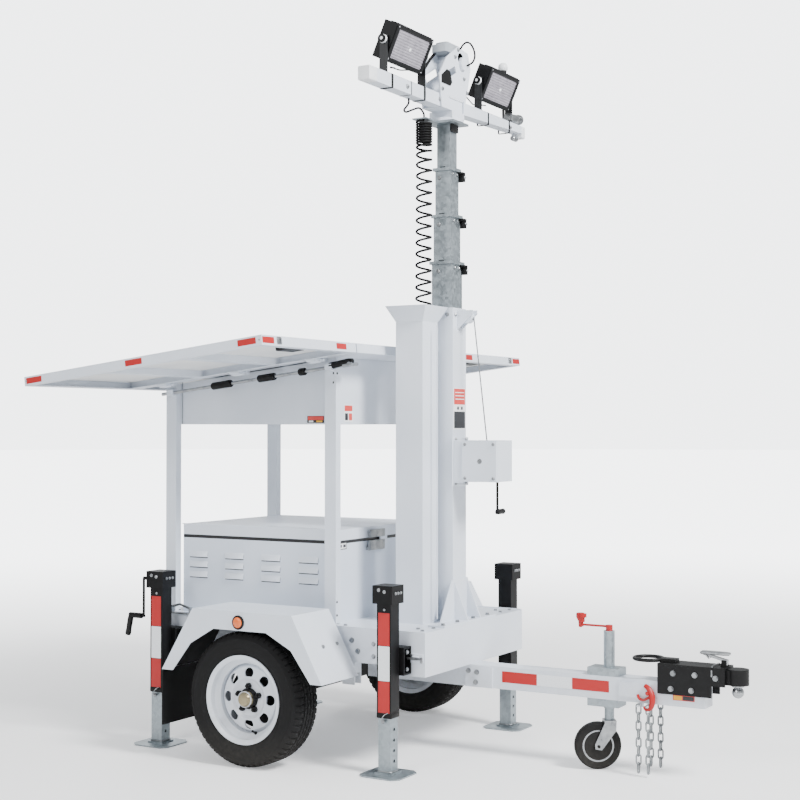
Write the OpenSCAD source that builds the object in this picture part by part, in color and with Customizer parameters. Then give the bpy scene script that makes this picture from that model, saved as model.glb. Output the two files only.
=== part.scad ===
// Mobile solar light tower on a single-axle trailer.
// Frame: +X towards the hitch, +Y to the trailer's left, +Z up, ground at Z = 0.
// Every module below is drawn from the wheel axle line; from_axle() moves it into the part's frame.

/* [Wheels] */
// Distance between the two wheel centre planes
track = 1450; // [1300:10:1600]
// Outer radius of the tyre, which is also the axle height
tyre_r = 297; // [285:1:310]
// Width of the tyre
tyre_w = 185; // [175:5:205]
// Radius of the rim flange
rim_r = 195; // [190:1:200]
// Number of wheel nuts
nut_count = 5; // [4:1:6]
// Pitch circle diameter of the wheel nuts
nut_pcd = 112; // [98:1:120]
// Diameter of the wheel spindle
spindle_d = 35; // [25:1:45]

/* [Chassis] */
// Half width over the side rails
chassis_half_w = 483; // [440:1:500]
// Front face of the front beam, ahead of the axle
beam_front = 733; // [700:1:800]
// Back face of the rear beam, behind the axle
beam_rear = 765; // [740:1:820]
// Height of the underside of the beams
beam_z = 409; // [400:1:430]
// Height of the beams
beam_h = 158; // [140:1:180]
// Thickness of the beams along X
beam_t = 78; // [60:1:90]
// Height of the deck pan above the beams
deck_h = 33; // [20:1:40]
// Wall of folded chassis sheet
sheet = 5; // [3:0.5:6]

/* [Drawbar] */
// Side of the square drawbar tube
drawbar_w = 100; // [80:1:110]
// Front end of the drawbar, ahead of the axle
drawbar_front = 1833; // [1750:1:1950]
// Jockey wheel post, ahead of the axle
jockey_x = 1385; // [1300:1:1450]
// Outer diameter of the jockey post
jockey_d = 48; // [42:1:60]
// Radius of the jockey wheel
jockey_r = 102; // [90:1:110]
// Diameter of the hitch ball
ball_d = 50; // [48:0.1:60]

/* [Jacks] */
// Side of the outer jack tube
jack_w = 70; // [60:1:80]
// Distance of each jack from the centre line
jack_y = 583; // [575:1:640]
// Front jacks, ahead of the axle
jack_front = 607; // [560:1:640]
// Rear jacks, behind the axle
jack_rear = 640; // [600:1:680]
// Height of the top of a jack
jack_top = 811; // [760:1:860]
// Width of a jack foot
foot_w = 200; // [150:5:220]

/* [Cabinet] */
// Half width of the battery cabinet
cabinet_half_w = 395; // [350:1:395]
// Rear wall of the cabinet, behind the axle
cabinet_rear = 656; // [600:1:656]
// Front wall of the cabinet, ahead of the axle
cabinet_front = 229; // [150:1:229]
// Height of the cabinet body
cabinet_h = 366; // [300:1:420]
// Thickness of the lid
lid_h = 50; // [30:1:60]

/* [Solar roof] */
// Half width of the whole roof with both wings out
roof_half_w = 1197; // [1000:1:1250]
// Length of a solar module along its slope
roof_l = 1307; // [1000:1:1400]
// Depth of a module frame
roof_t = 42; // [35:1:50]
// Slope of the roof down to the rear
roof_tilt = 6.6; // [0:0.1:12]
// Hinge line of a wing, from the centre line
hinge_y = 476; // [470:1:520]
// Front edge of the roof, ahead of the axle
roof_front = 382; // [340:1:400]
// Height of the underside of the roof at its front edge
roof_z = 1821; // [1700:1:1900]

/* [Mast] */
// Centre of the mast, ahead of the axle
mast_x = 580; // [570:1:585]
// Side of the fixed mast tube
mast_w = 130; // [124:1:134]
// Top of the fixed mast tube
mast_top = 2040; // [1900:5:2200]
// How far each section stands out of the one round it
section_step = 218; // [190:1:230]
// Wall of every mast tube
tube_wall = 4; // [3:0.5:5]
// Clearance on each side between the fixed tube and the widest section
slide_gap = 9; // [6:0.5:10]
// Clearance on each side between one section and the next
section_gap = 2; // [1:0.25:3]
// Side of the cable column
column_w = 140; // [120:1:145]
// Outer radius of the curly cord
cord_r = 39; // [30:1:42]

/* [Lamps] */
// Width of a floodlight
lamp_w = 312; // [260:1:330]
// Height of a floodlight
lamp_h = 165; // [140:1:180]
// Depth of a floodlight
lamp_t = 74; // [60:1:90]
// Distance of a floodlight from the mast's centre plane
lamp_y = 445; // [400:1:480]
// Downward tilt of a floodlight
lamp_tilt = 24; // [0:1:40]
// Half length of the crossbar
bar_half_l = 770; // [650:5:800]
// Side of the crossbar
bar_w = 58; // [50:1:62]

/* [Hidden] */
$fn = 48;

gap = 0.4;                       // clearance of a plain sliding or seated piece
bore_gap = 0.05;                 // radial clearance of a pin or shaft
white = "#e9edf2";
black = "#1b1c1f";
zinc = "#a9adb0";
steel = "#7d8286";

beam_top = beam_z + beam_h;
deck_z = beam_top + deck_h;
drawbar_z = beam_z - drawbar_w - 1;
drawbar_mid = drawbar_z + drawbar_w/2;
coupler_nose = drawbar_front + 172;
roof_rear = roof_l*cos(roof_tilt) + roof_t*sin(roof_tilt) - roof_front;
axle_x = -(coupler_nose - roof_rear)/2;
shroud_z = 1502;
post_x = 60;                     // post section along X
post_y = 40;                     // post section along Y
post_out = cabinet_half_w + 5 + post_y;
post_front = cabinet_front + 19;
post_rear = cabinet_rear + 12 + post_x;
lid_z = deck_z + cabinet_h + 6;
column_x = mast_x - 63;
column_y = -mast_w/2 - 40 - column_w/2;
cord_x = column_x + 23;
cord_y = column_y + 25;
funnel_out = 36;
funnel_h = 72;
head_z = mast_top + 4*section_step;
winch_x = mast_x + mast_w/2 + 56;
winch_z = 1333;

section_w = mast_w - 2*(tube_wall + slide_gap);
section_taper = 2*(tube_wall + section_gap);

function section_side(k) = section_w - (k - 1)*section_taper;
function section_top(k) = mast_top + k*section_step;
function roof_at(x) = roof_z - (roof_front - x)*tan(roof_tilt);

module from_axle() { translate([axle_x, 0, 0]) children(); }
module both() { children(); mirror([0, 1, 0]) children(); }
module box(x0, x1, y0, y1, z0, z1) { translate([x0, y0, z0]) cube([x1 - x0, y1 - y0, z1 - z0]); }
// Plate cut from an outline given in X and Z, from y0 to y1
module side_plate(outline, y0, y1) {
    translate([0, y1, 0]) rotate([90, 0, 0]) linear_extrude(y1 - y0) polygon(outline);
}
// Plate cut from an outline given in Y and Z, from x0 to x1
module cross_plate(outline, x0, x1) {
    translate([x0, 0, 0]) rotate([90, 0, 90]) linear_extrude(x1 - x0) polygon(outline);
}
module rod(p, axis, len, d) {
    turn = axis == "x" ? [0, 90, 0] : axis == "y" ? [-90, 0, 0] : [0, 0, 0];
    translate(p) rotate(turn) cylinder(h = len, d = d);
}
module square_tube(w, wall, z0, z1) {
    translate([-w/2, -w/2, z0]) difference() {
        cube([w, w, z1 - z0]);
        translate([wall, wall, -1]) cube([w - 2*wall, w - 2*wall, z1 - z0 + 2]);
    }
}
// Hexagon bolt head with its washer, lying on a face and pointing along +Z
module bolt_head(d) {
    cylinder(h = 0.15*d, d = 2*d);
    translate([0, 0, 0.15*d]) cylinder(h = 0.65*d, d = 1.75*d, $fn = 6);
}
module bolt_at(p, turn, d) { translate(p) rotate(turn) bolt_head(d); }

// ---- running gear ----
axle_w = 60;
spindle_end = track/2 + 44;
module axle() color(black) from_axle() {
    half = track/2 - tyre_w/2 - 40;
    box(-axle_w/2, axle_w/2, -half, half, tyre_r - axle_w/2, tyre_r + axle_w/2);
    both() rod([0, half, tyre_r], "y", spindle_end - half, spindle_d);
}
spring_y = chassis_half_w - 30;
spring_w = 45;
spring_half = 380;
spring_rise = 50;
leaf_t = 8;
spring_seat = tyre_r + axle_w/2;
function leaf_z(x) = spring_rise*pow(x/spring_half, 2);
function leaf_line(half, up) = [for (x = [-half : half/12 : half + 1]) [x, leaf_z(x) + up]];
function leaf(half, k) = concat(leaf_line(half, k*leaf_t),
    [for (i = [24 : -1 : 0]) [half*(i - 12)/12, leaf_z(half*(i - 12)/12) + (k + 1)*leaf_t - 0.01]]);
module leaf_springs() color(black) from_axle() both() for (k = [0 : 2])
    translate([0, 0, spring_seat])
        side_plate(leaf(spring_half*(0.55 + 0.2*k), k), spring_y - spring_w/2, spring_y + spring_w/2);
hanger_z = spring_seat + leaf_z(0.95*spring_half) + 3*leaf_t;
module spring_hangers() for (s = [-1, 1]) {
    x = s*0.9*spring_half;
    for (y = [spring_y - spring_w/2 - 6, spring_y + spring_w/2])
        box(x - 32, x + 32, y, y + 6, hanger_z - 50, rail_z);
    box(x - 32, x + 32, spring_y - spring_w/2, spring_y + spring_w/2, hanger_z + gap, rail_z);
}
rail_z = beam_top - 120;
rail_flange = 62;
module rail() {
    out = chassis_half_w;
    difference() {
        box(-(beam_rear - beam_t), beam_front - beam_t, out - rail_flange, out, rail_z, beam_top);
        box(-(beam_rear - beam_t) - 1, beam_front - beam_t + 1, out - rail_flange - 1, out - sheet,
            rail_z + sheet, beam_top - sheet);
    }
}
module chassis_frame() color(white) from_axle() {
    both() { rail(); spring_hangers(); }
    // Rear beam, open towards the front like a folded pan
    difference() {
        box(-beam_rear, -(beam_rear - beam_t), -chassis_half_w, chassis_half_w, beam_z, beam_top);
        box(-beam_rear + sheet, -(beam_rear - beam_t) + 1, -chassis_half_w + sheet,
            chassis_half_w - sheet, beam_z + sheet, beam_top - sheet);
    }
    // Cross member that carries the back end of the drawbar
    box(180, 240, -(chassis_half_w - rail_flange), chassis_half_w - rail_flange,
        beam_z, beam_z + 40);
    both() box(180, 240, chassis_half_w - rail_flange, chassis_half_w - sheet, beam_z, rail_z);
}
module front_beam() color(white) from_axle() difference() {
    box(beam_front - beam_t, beam_front, -chassis_half_w, chassis_half_w, beam_z, beam_top);
    box(beam_front - beam_t - 1, beam_front - sheet, -chassis_half_w + sheet,
        chassis_half_w - sheet, beam_z + sheet, beam_top - sheet);
}
module deck() color(white) from_axle() difference() {
    box(-beam_rear, beam_front, -chassis_half_w, chassis_half_w, beam_top, deck_z);
    box(-beam_rear + sheet, beam_front - sheet, -chassis_half_w + sheet, chassis_half_w - sheet,
        beam_top - 1, deck_z - sheet);
}

// ---- drawbar ----
splice_x = 705;
splice_l = 138;
module drawbar() color(white) from_axle() {
    difference() {
        box(180, drawbar_front, -drawbar_w/2, drawbar_w/2, drawbar_z, drawbar_z + drawbar_w);
        box(179, drawbar_front - 4, -drawbar_w/2 + sheet, drawbar_w/2 - sheet,
            drawbar_z + sheet, drawbar_z + drawbar_w - sheet);
        rod([jockey_x, 0, drawbar_z - 1], "z", drawbar_w + 2, jockey_d + 2*gap);
    }
    box(180, 240, -drawbar_w/2, drawbar_w/2, drawbar_z + drawbar_w, beam_z);
    box(beam_front - beam_t, beam_front, -drawbar_w/2, drawbar_w/2, drawbar_z + drawbar_w, beam_z);
    // Welded chain plate and lugs on each side
    both() {
        box(chain_x - 140, chain_x, drawbar_w/2, drawbar_w/2 + 7, drawbar_z + 22, drawbar_z + 84);
        for (run = [0, 1]) translate([chain_x - 44*run, 0, 0]) {
            box(-9, 9, drawbar_w/2 - 16, drawbar_w/2, drawbar_z - 16, drawbar_z);
            rod([0, drawbar_w/2 - 8, chain_top + link_l/2 - 4 - gap], "y", 46, 8);
        }
    }
}
splice_t = 10;
module splice_plates() color(white) from_axle() both()
    side_plate([[splice_x, drawbar_z], [splice_x + splice_l, drawbar_z],
        [splice_x + splice_l, drawbar_z + 96], [splice_x + 40, beam_z - gap],
        [splice_x, beam_z - gap]], drawbar_w/2, drawbar_w/2 + splice_t);

// ---- fenders ----
fender_in = 535;
fender_out = track/2 + tyre_w/2 + 12;
fender_t = 4;
fender_top = 2*tyre_r + 89;
fender_low = 400;
bracket_top = fender_top - 85;
function fender_line(t) = [[-431 + t, fender_low], [-260 + 0.6*t, fender_top - t],
    [272 - 0.6*t, fender_top - t], [428 - t, fender_low]];
arch = [[-tyre_r - 74, fender_low - 1], [-tyre_r + 27, 2*tyre_r - 66], [-143, 2*tyre_r + 7],
    [140, 2*tyre_r + 7], [tyre_r - 27, 2*tyre_r - 60], [tyre_r + 74, fender_low - 1]];
module fender() {
    difference() {
        side_plate(fender_line(0), fender_in, fender_out);
        translate([0, 0, -0.01]) side_plate(fender_line(fender_t), fender_in + fender_t,
            fender_out - fender_t);
        side_plate(arch, fender_in - 1, fender_out + 1);
    }
    for (x = [-200, 160])
        box(x, x + 50, chassis_half_w, fender_in, min(beam_top + 10, bracket_top - 21), bracket_top);
}
module fenders() color(white) from_axle() both() fender();
flap_t = 6;
module mud_flaps() color(black) from_axle() both()
    box(-431, -431 + flap_t, fender_in, fender_out, 150, fender_low);
// Round side markers on the fenders and block tail lamps on the rear beam
module road_lights() color("#e48a17") from_axle() both() {
    rod([-6, fender_out, fender_top - 46], "y", 6, 62);
    rod([-6, fender_out + 6, fender_top - 46], "y", 8, 46);
    box(-beam_rear - 30, -beam_rear, chassis_half_w - 190, chassis_half_w - 40,
        beam_z + 40, beam_z + 120);
}

// ---- wheels ----
module at_wheel(side) {
    translate([0, side*track/2, tyre_r]) rotate([-side*90, 0, 0]) children();
}
bead_r = rim_r - 15;
function side_r(u) = rim_r + u*(tyre_r - rim_r);
module tyre() {
    h = tyre_w/2;
    out = [[bead_r + gap, h - 40], [bead_r + gap, h - 20], [rim_r + 1, h - 14], [side_r(0.22), h - 4],
        [side_r(0.49), h], [side_r(0.765), h - 6], [side_r(0.93), h - 20], [tyre_r, h - 32]];
    inn = [[tyre_r - 11, h - 42], [tyre_r - 20, h - 30], [side_r(0.49), h - 12], [rim_r + 6, h - 30]];
    rotate_extrude($fn = 96) polygon(concat(out, [for (i = [7 : -1 : 0]) [out[i][0], -out[i][1]]],
        [for (i = [3 : -1 : 0]) [inn[i][0], -inn[i][1]]], inn));
}
module rim() {
    h = tyre_w/2;
    face = 30;
    half = [[bead_r - 22, h - 58], [bead_r, h - 42], [bead_r, h - 18], [rim_r, h - 13], [rim_r, h - 8],
        [rim_r - 5, h - 8], [bead_r - 5, h - 15], [bead_r - 5, h - 40], [bead_r - 27, h - 57]];
    rotate_extrude($fn = 96) polygon(concat([for (i = [0 : 8]) half[i]],
        [for (i = [8 : -1 : 0]) [half[i][0], -half[i][1]]]));
    difference() {
        rotate_extrude($fn = 96) polygon([[spindle_d/2 + 18, face], [nut_pcd/2 + 20, face],
            [nut_pcd/2 + 34, face + 8], [bead_r - 42, face - 2], [bead_r - 26.9, face - 24],
            [bead_r - 26.9, face - 30], [bead_r - 45, face - 8], [nut_pcd/2 + 34, face + 3],
            [nut_pcd/2 + 20, face - 5], [spindle_d/2 + 18, face - 5]]);
        for (i = [0 : 7]) rotate(i*45) translate([nut_pcd/2 + 56, 0, 0]) linear_extrude(80)
            intersection() { circle(d = 46); translate([-17, -30]) square([60, 60]); }
        for (i = [0 : nut_count - 1]) rotate(i*360/nut_count + 90)
            translate([nut_pcd/2, 0, 0]) cylinder(h = 80, d = 14);
    }
    // Hub with its dust cap, turning on the spindle
    difference() {
        union() {
            translate([0, 0, -40]) cylinder(h = 65 - gap, d = nut_pcd + 36);
            translate([0, 0, 20]) cylinder(h = 48, d = 2*(spindle_d/2 + 18) - 2*gap);
            translate([0, 0, 68]) cylinder(h = 10, d1 = 60, d2 = 46);
        }
        translate([0, 0, -41]) cylinder(h = 41 + spindle_end - track/2 + 2,
            d = spindle_d + 2*bore_gap);
    }
    for (i = [0 : nut_count - 1]) rotate(i*360/nut_count + 90)
        translate([nut_pcd/2, 0, face]) { cylinder(h = 16, d = 22, $fn = 6);
            cylinder(h = 26, d = 12); translate([0, 0, -30]) cylinder(h = 30, d = 12); }
}
module tyre_left() color(black) from_axle() at_wheel(1) tyre();
module tyre_right() color(black) from_axle() at_wheel(-1) tyre();
module rim_left() color(white) from_axle() at_wheel(1) rim();
module rim_right() color(white) from_axle() at_wheel(-1) rim();

// ---- jacks ----
jack_wall = 4;
leg_w = jack_w - 2*jack_wall - 2*gap;
tube_low = 245;
cap_h = 78;
cap_w = 98;
cap_z = jack_top - cap_h;
crank_z = jack_top - 40;
module at_jacks() {
    for (x = [jack_front, -jack_rear]) for (s = [-1, 1]) translate([x, s*jack_y, 0]) children();
}
module jack_tubes() color(black) from_axle() at_jacks() square_tube(jack_w, jack_wall, tube_low, cap_z);
module jack_caps() color(black) from_axle() for (x = [jack_front, -jack_rear]) for (s = [-1, 1])
    translate([x, s*jack_y, 0]) {
        difference() {
            translate([-cap_w/2, -cap_w/2, cap_z]) cube([cap_w, cap_w, cap_h]);
            translate([-cap_w/2 + 4, -cap_w/2 + 4, cap_z - 1]) cube([cap_w - 8, cap_w - 8, cap_h - 3]);
            if (x < 0) rod([-cap_w/2 - 1, 0, crank_z], "x", 6, 16);
        }
        // Screw that drives the leg, under the cap
        rod([0, 0, tube_low + 60], "z", jack_top - 4 - tube_low - 60, 20);
        translate([-jack_w/2, -jack_w/2, cap_z]) cube([jack_w, jack_w, 6]);
    }
bracket_h = 120;
module jack_brackets() color(black) from_axle() both() for (x = [jack_front, -jack_rear]) {
    in = chassis_half_w;
    out = jack_y - jack_w/2;
    difference() {
        box(x - 35, x + 58, in, out, beam_z + 12, beam_z + 12 + bracket_h);
        box(x - 36, x + 59, in + 8, out - 8, beam_z + 20, beam_z + 4 + bracket_h);
    }
}
module leg() {
    // Ends below the screw; the foot is welded on
    difference() {
        square_tube(leg_w, 4, 14, tube_low + 330);
        for (z = [60 : 45 : 200]) rod([-leg_w, 0, z], "x", 2*leg_w, 15);
    }
    c = 28;
    h = foot_w/2;
    linear_extrude(6) polygon([[-h + c, -h], [h - c, -h], [h, -h + c], [h, h - c], [h - c, h],
        [-h + c, h], [-h, h - c], [-h, -h + c]]);
    translate([-leg_w/2 - 12, -leg_w/2 - 12, 6]) cube([leg_w + 24, leg_w + 24, 8]);
}
module leg_front_left() color(zinc) from_axle() translate([jack_front, jack_y, 0]) leg();
module leg_front_right() color(zinc) from_axle() translate([jack_front, -jack_y, 0]) leg();
module leg_rear_left() color(zinc) from_axle() translate([-jack_rear, jack_y, 0]) leg();
module leg_rear_right() color(zinc) from_axle() translate([-jack_rear, -jack_y, 0]) leg();
crank_drop = 180;
module jack_crank() color(black) from_axle() translate([-jack_rear - cap_w/2, -jack_y, crank_z]) {
    rod([-56, 0, 0], "x", 56 + 30, 16 - 2*bore_gap);
    rod([-56, 0, -crank_drop], "z", crank_drop, 12);
    rod([-140, 0, -crank_drop], "x", 90, 12);
    rod([-140, 0, -crank_drop], "x", 72, 26);
}

// ---- cabinet ----
hinge_d = 10;
hinge_off = 9;
lid_over = 6;
module cabinet() color(white) from_axle() {
    hw = cabinet_half_w;
    difference() {
        box(-cabinet_rear, cabinet_front, -hw, hw, deck_z, deck_z + cabinet_h);
        box(-cabinet_rear + 3, cabinet_front - 3, -hw + 3, hw - 3, deck_z + 3, deck_z + cabinet_h - 3);
        box(-cabinet_rear + 22, cabinet_front - 22, -hw + 22, hw - 22, deck_z, deck_z + cabinet_h + 1);
    }
    box(-cabinet_rear + 3, cabinet_front - 3, -hw + 3, hw - 3, deck_z, deck_z + 3);
    // Louvre hoods, four groups of three on each side
    both() for (g = [0 : 3]) for (k = [0 : 2])
        cross_plate([[-hw + 1, deck_z + 170 + 48*k], [-hw - 3.5, deck_z + 176 + 48*k],
            [-hw - 3.5, deck_z + 182 + 48*k], [-hw + 1, deck_z + 198 + 48*k]],
            -cabinet_rear + 38 + 211*g, -cabinet_rear + 148 + 211*g);
    // Rubber seal strip round the rim and the fixed hinge knuckles
    difference() {
        box(-cabinet_rear, cabinet_front, -hw, hw, deck_z + cabinet_h, lid_z - gap);
        box(-cabinet_rear + 14, cabinet_front - 14, -hw + 14, hw - 14, deck_z + cabinet_h - 1, lid_z);
    }
    for (y = [-250, 200]) {
        rod([-cabinet_rear - hinge_off, y, lid_z], "y", 50, hinge_d);
        for (e = [y, y + 40]) side_plate([[-cabinet_rear - hinge_off - 8, lid_z - 8],
            [-cabinet_rear, lid_z - 40], [-cabinet_rear, lid_z - 6], [-cabinet_rear - 3, lid_z - 6],
            [-cabinet_rear - 3, lid_z + 6], [-cabinet_rear - hinge_off - 8, lid_z + 6]], e, e + 10);
    }
}
module cabinet_lid() color(white) from_axle() {
    hw = cabinet_half_w;
    difference() {
        box(-cabinet_rear, cabinet_front + lid_over, -hw, hw, lid_z, lid_z + lid_h);
        box(-cabinet_rear + 3, cabinet_front + lid_over - 3, -hw + 3, hw - 3, lid_z - 1, lid_z + lid_h - 3);
    }
    for (y = [-250, 200]) difference() {
        union() {
            box(-cabinet_rear - hinge_off - 2, -cabinet_rear + 1, y + 11, y + 39, lid_z + 2, lid_z + 14);
            rod([-cabinet_rear - hinge_off, y + 11, lid_z], "y", 28, hinge_d + 6);
        }
        rod([-cabinet_rear - hinge_off, y - 1, lid_z], "y", 60, hinge_d + 2*bore_gap);
    }
    // Catch that hangs over the front wall
    box(cabinet_front + lid_over, cabinet_front + lid_over + 8, -40, 20, lid_z - 35, lid_z + 30);
}
battery_l = 330;
module batteries() color("#2b3036") from_axle() {
    for (x = [-580, -230]) for (y = [-260, -60, 140])
        box(x, x + battery_l, y, y + 172, deck_z + 3, deck_z + 225);
    // Charge controller on the front wall
    box(cabinet_front - 63, cabinet_front - 3, -130, 130, deck_z + 60, deck_z + 250);
}

// ---- roof ----
module roof_frame() {
    translate([roof_front, 0, roof_z]) rotate([0, -roof_tilt, 0]) children();
}
module posts() color(white) from_axle() both() {
    for (x0 = [post_front - post_x, -post_rear]) {
        x1 = x0 + post_x;
        difference() {
            side_plate([[x0, deck_z], [x1, deck_z], [x1, roof_at(x1) - gap], [x0, roof_at(x0) - gap]],
                post_out - post_y, post_out);
            box(x0 + 3, x1 - 3, post_out - post_y + 3, post_out - 3, deck_z + 3, shroud_z + 60);
        }
        // Guide that the lock rod slides in
        x = (x0 + x1)/2 - roof_front;
        roof_frame() difference() {
            box(x - 18, x + 18, post_out - 1, rod_y + 15, rod_z - 14, rod_z + 14);
            rod([x - 20, rod_y, rod_z], "x", 40, rod_d + 2*bore_gap);
        }
    }
}
module shroud() color(white) from_axle() {
    x0 = -post_rear + 10;
    x1 = post_front - 5;
    in = post_out - post_y - gap;
    difference() {
        side_plate([[x0, shroud_z], [x1, shroud_z], [x1, roof_at(x1) - gap], [x0, roof_at(x0) - gap]],
            -in, in);
        side_plate([[x0 + 3, shroud_z + 3], [x1 - 3, shroud_z + 3], [x1 - 3, roof_at(x1) + 1],
            [x0 + 3, roof_at(x0) + 1]], -in + 3, in - 3);
    }
}
// Solar module: frame, laminate and cross rails, from y0 to y1 in the roof's own frame
module solar_module(y0, y1) {
    rim_w = 32;
    difference() {
        box(-roof_l, 0, y0, y1, 0, roof_t);
        box(-roof_l + 3, -3, y0 + 3, y1 - 3, 3, roof_t + 1);
        box(-roof_l + rim_w, -rim_w, y0 + rim_w, y1 - rim_w, -1, roof_t);
    }
    box(-roof_l + 3, -3, y0 + 3, y1 - 3, roof_t - 8, roof_t - 1);
    for (k = [1 : 2]) box(-roof_l*k/3 - 20, -roof_l*k/3 + 20, y0 + 3, y1 - 3, 3, roof_t - 8);
}
pin_z = -9;
pin_d = 10;
module hinge_places() { for (x = [-roof_l + 180, -roof_l/2 - 40, -260]) translate([x, 0, 0]) children(); }
module centre_module() color("#c9cdd2") from_axle() roof_frame() {
    solar_module(-hinge_y + 4, hinge_y - 4);
    both() hinge_places() {
        rod([0, hinge_y, pin_z], "x", 80, pin_d);
        for (x = [0, 68]) box(x, x + 12, hinge_y - 30, hinge_y - 2, pin_z - 6, 0);
        for (x = [0, 68]) box(x, x + 12, hinge_y - 8, hinge_y + 7, pin_z - 6, pin_z + 6);
    }
}
module wing() {
    solar_module(hinge_y + 4, roof_half_w);
    hinge_places() difference() {
        union() {
            rod([13, hinge_y, pin_z], "x", 54, pin_d + 8);
            box(13, 67, hinge_y + 2, hinge_y + 40, pin_z - 3, 0);
        }
        rod([0, hinge_y, pin_z], "x", 80, pin_d + 2*bore_gap);
    }
}
module wing_left() color("#c9cdd2") from_axle() roof_frame() wing();
module wing_right() color("#c9cdd2") from_axle() roof_frame() mirror([0, 1, 0]) wing();
rod_d = 16;
rod_y = post_out + 15;
rod_z = -44;
rod_l = post_front + post_rear + 70;
rod_start = -post_rear - roof_front - 25;
module lock_rod() {
    rod([rod_start, rod_y, rod_z], "x", rod_l, rod_d);
    rod([rod_start + rod_l, rod_y, rod_z], "x", 50, 26);
    rod([rod_start + rod_l + 40, rod_y - 48, rod_z], "y", 70, 18);
}
module lock_rod_left() color(steel) from_axle() roof_frame() lock_rod();
module lock_rod_right() color(steel) from_axle() roof_frame() mirror([0, 1, 0]) lock_rod();

// ---- mast ----
collar_t = 14;
collar_w = 9;                    // how far a collar stands out round its tube
module at_mast() { translate([mast_x, 0, 0]) children(); }
module collar(outer, inner, z, h) { square_tube(outer + 2*collar_w, (outer + 2*collar_w - inner)/2 - gap, z, z + h); }
module mast_base() color(white) from_axle() at_mast() {
    square_tube(mast_w, tube_wall, deck_z, mast_top - collar_t);
    collar(mast_w - 2*collar_w, section_side(1), mast_top - collar_t, collar_t);
    // Bracket and sheave for the lifting rope
    for (y = [-24, 18]) side_plate([[mast_w/2, mast_top - 100], [mast_w/2 + 82, mast_top - 30],
        [mast_w/2 + 82, mast_top - 12], [mast_w/2, mast_top - 12]], y, y + 6);
    rod([mast_w/2 + 44, -18 + gap, mast_top - 44], "y", 36 - 2*gap, 56);
    // Plate that the winch bolts to
    box(mast_w/2, mast_w/2 + 56, -70, -64, winch_z - 100, winch_z + 68);
    box(mast_w/2, mast_w/2 + 56, 64, 70, winch_z - 100, winch_z + 68);
}
module mast_section(k, foot) {
    w = section_side(k);
    square_tube(w, tube_wall, foot, section_top(k) - collar_t);
    if (k < 4) collar(w, section_side(k + 1), section_top(k) - collar_t, collar_t);
    else {
        translate([-75, -75, section_top(k) - collar_t]) cube([150, 150, 10]);
        // Tab that the curly cord hangs from
        box(cord_x - mast_x - 36, cord_x - mast_x + 36, cord_y - 44, -75, section_top(k) - collar_t,
            section_top(k) - collar_t + 6);
    }
}
section_foot = deck_z + 60;
module mast_section_1() color(zinc) from_axle() at_mast() mast_section(1, section_foot);
module mast_section_2() color(zinc) from_axle() at_mast() mast_section(2, section_foot + 12);
module mast_section_3() color(zinc) from_axle() at_mast() mast_section(3, section_foot + 24);
module mast_section_4() color(zinc) from_axle() at_mast() mast_section(4, section_foot + 36);
shoe_t = 8;
shoe_foot = 84;
shoe_h = 190;
module mast_shoe() color(white) from_axle() at_mast() {
    h = mast_w/2;
    // Foot plate, front cheek and two triangular gussets
    box(h, h + shoe_foot, -300, 210, deck_z, deck_z + shoe_t);
    cross_plate([[-190, deck_z + shoe_t], [170, deck_z + shoe_t], [h, deck_z + shoe_h],
        [-h - 12, deck_z + shoe_h]], h, h + shoe_t);
    for (y = [-h, h - shoe_t]) side_plate([[h + shoe_t, deck_z + shoe_t], [h + shoe_foot - 6, deck_z + shoe_t],
        [h + shoe_t, deck_z + shoe_h - 10]], y, y + shoe_t);
}
module cable_column() color(white) from_axle() translate([column_x, column_y, 0]) {
    top = mast_top - funnel_h;
    square_tube(column_w, 3, deck_z, top);
    // Flared mouth that gathers the cord
    a = column_w/2;
    b = column_w/2 + funnel_out;
    difference() {
        frustum(a, b, top, mast_top);
        frustum(a - 3, b - 3, top - 0.01, mast_top + 0.01);
    }
    for (z = [760, 1850]) box(-50, 50, a, a + 40 - gap, z, z + 6);
}
// Square frustum as a plain intersection of two extruded outlines
module frustum(a, b, z0, z1) {
    line = [[-a, z0], [a, z0], [b, z1], [-b, z1]];
    intersection() {
        side_plate(line, -b - 1, b + 1);
        cross_plate(line, -b - 1, b + 1);
    }
}

// ---- winch ----
winch_l = 174;
winch_half_w = 82;
winch_h = 186;
shaft_x = winch_x + 90;
module winch_housing() color("#c3c7cb") from_axle() difference() {
    box(winch_x, winch_x + winch_l, -winch_half_w, winch_half_w, winch_z - winch_h/2, winch_z + winch_h/2);
    box(winch_x + 4, winch_x + winch_l - 4, -winch_half_w + 4, winch_half_w - 4,
        winch_z - winch_h/2 + 4, winch_z + winch_h/2 - 4);
    box(winch_x + 40, winch_x + 130, -20, 20, winch_z + winch_h/2 - 5, winch_z + winch_h/2 + 1);
    rod([shaft_x, -winch_half_w - 1, winch_z], "y", 2*winch_half_w + 2, 24);
}
module winch_drum() color(steel) from_axle() {
    for (y = [-66, 60]) rod([shaft_x, y, winch_z], "y", 6, 130);
    rod([shaft_x, -60, winch_z], "y", 120, 60);
    rod([shaft_x, -winch_half_w, winch_z], "y", 2*winch_half_w, 24 - 2*bore_gap);
}
module winch_crank() color(black) from_axle() {
    y0 = winch_half_w + gap;
    rod([shaft_x, y0, winch_z], "y", 26, 34);
    rod([shaft_x, y0 + 17, winch_z - 240], "z", 240, 12);
    rod([shaft_x, y0 + 9, winch_z - 240], "y", 75, 16);
}
rope_d = 6;
rope_top = [mast_x + mast_w/2 + 44 + 31 + gap, 0, mast_top - 44];
rope_low = [winch_x + 90, 0, winch_z + winch_h/2 - 30];
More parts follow.
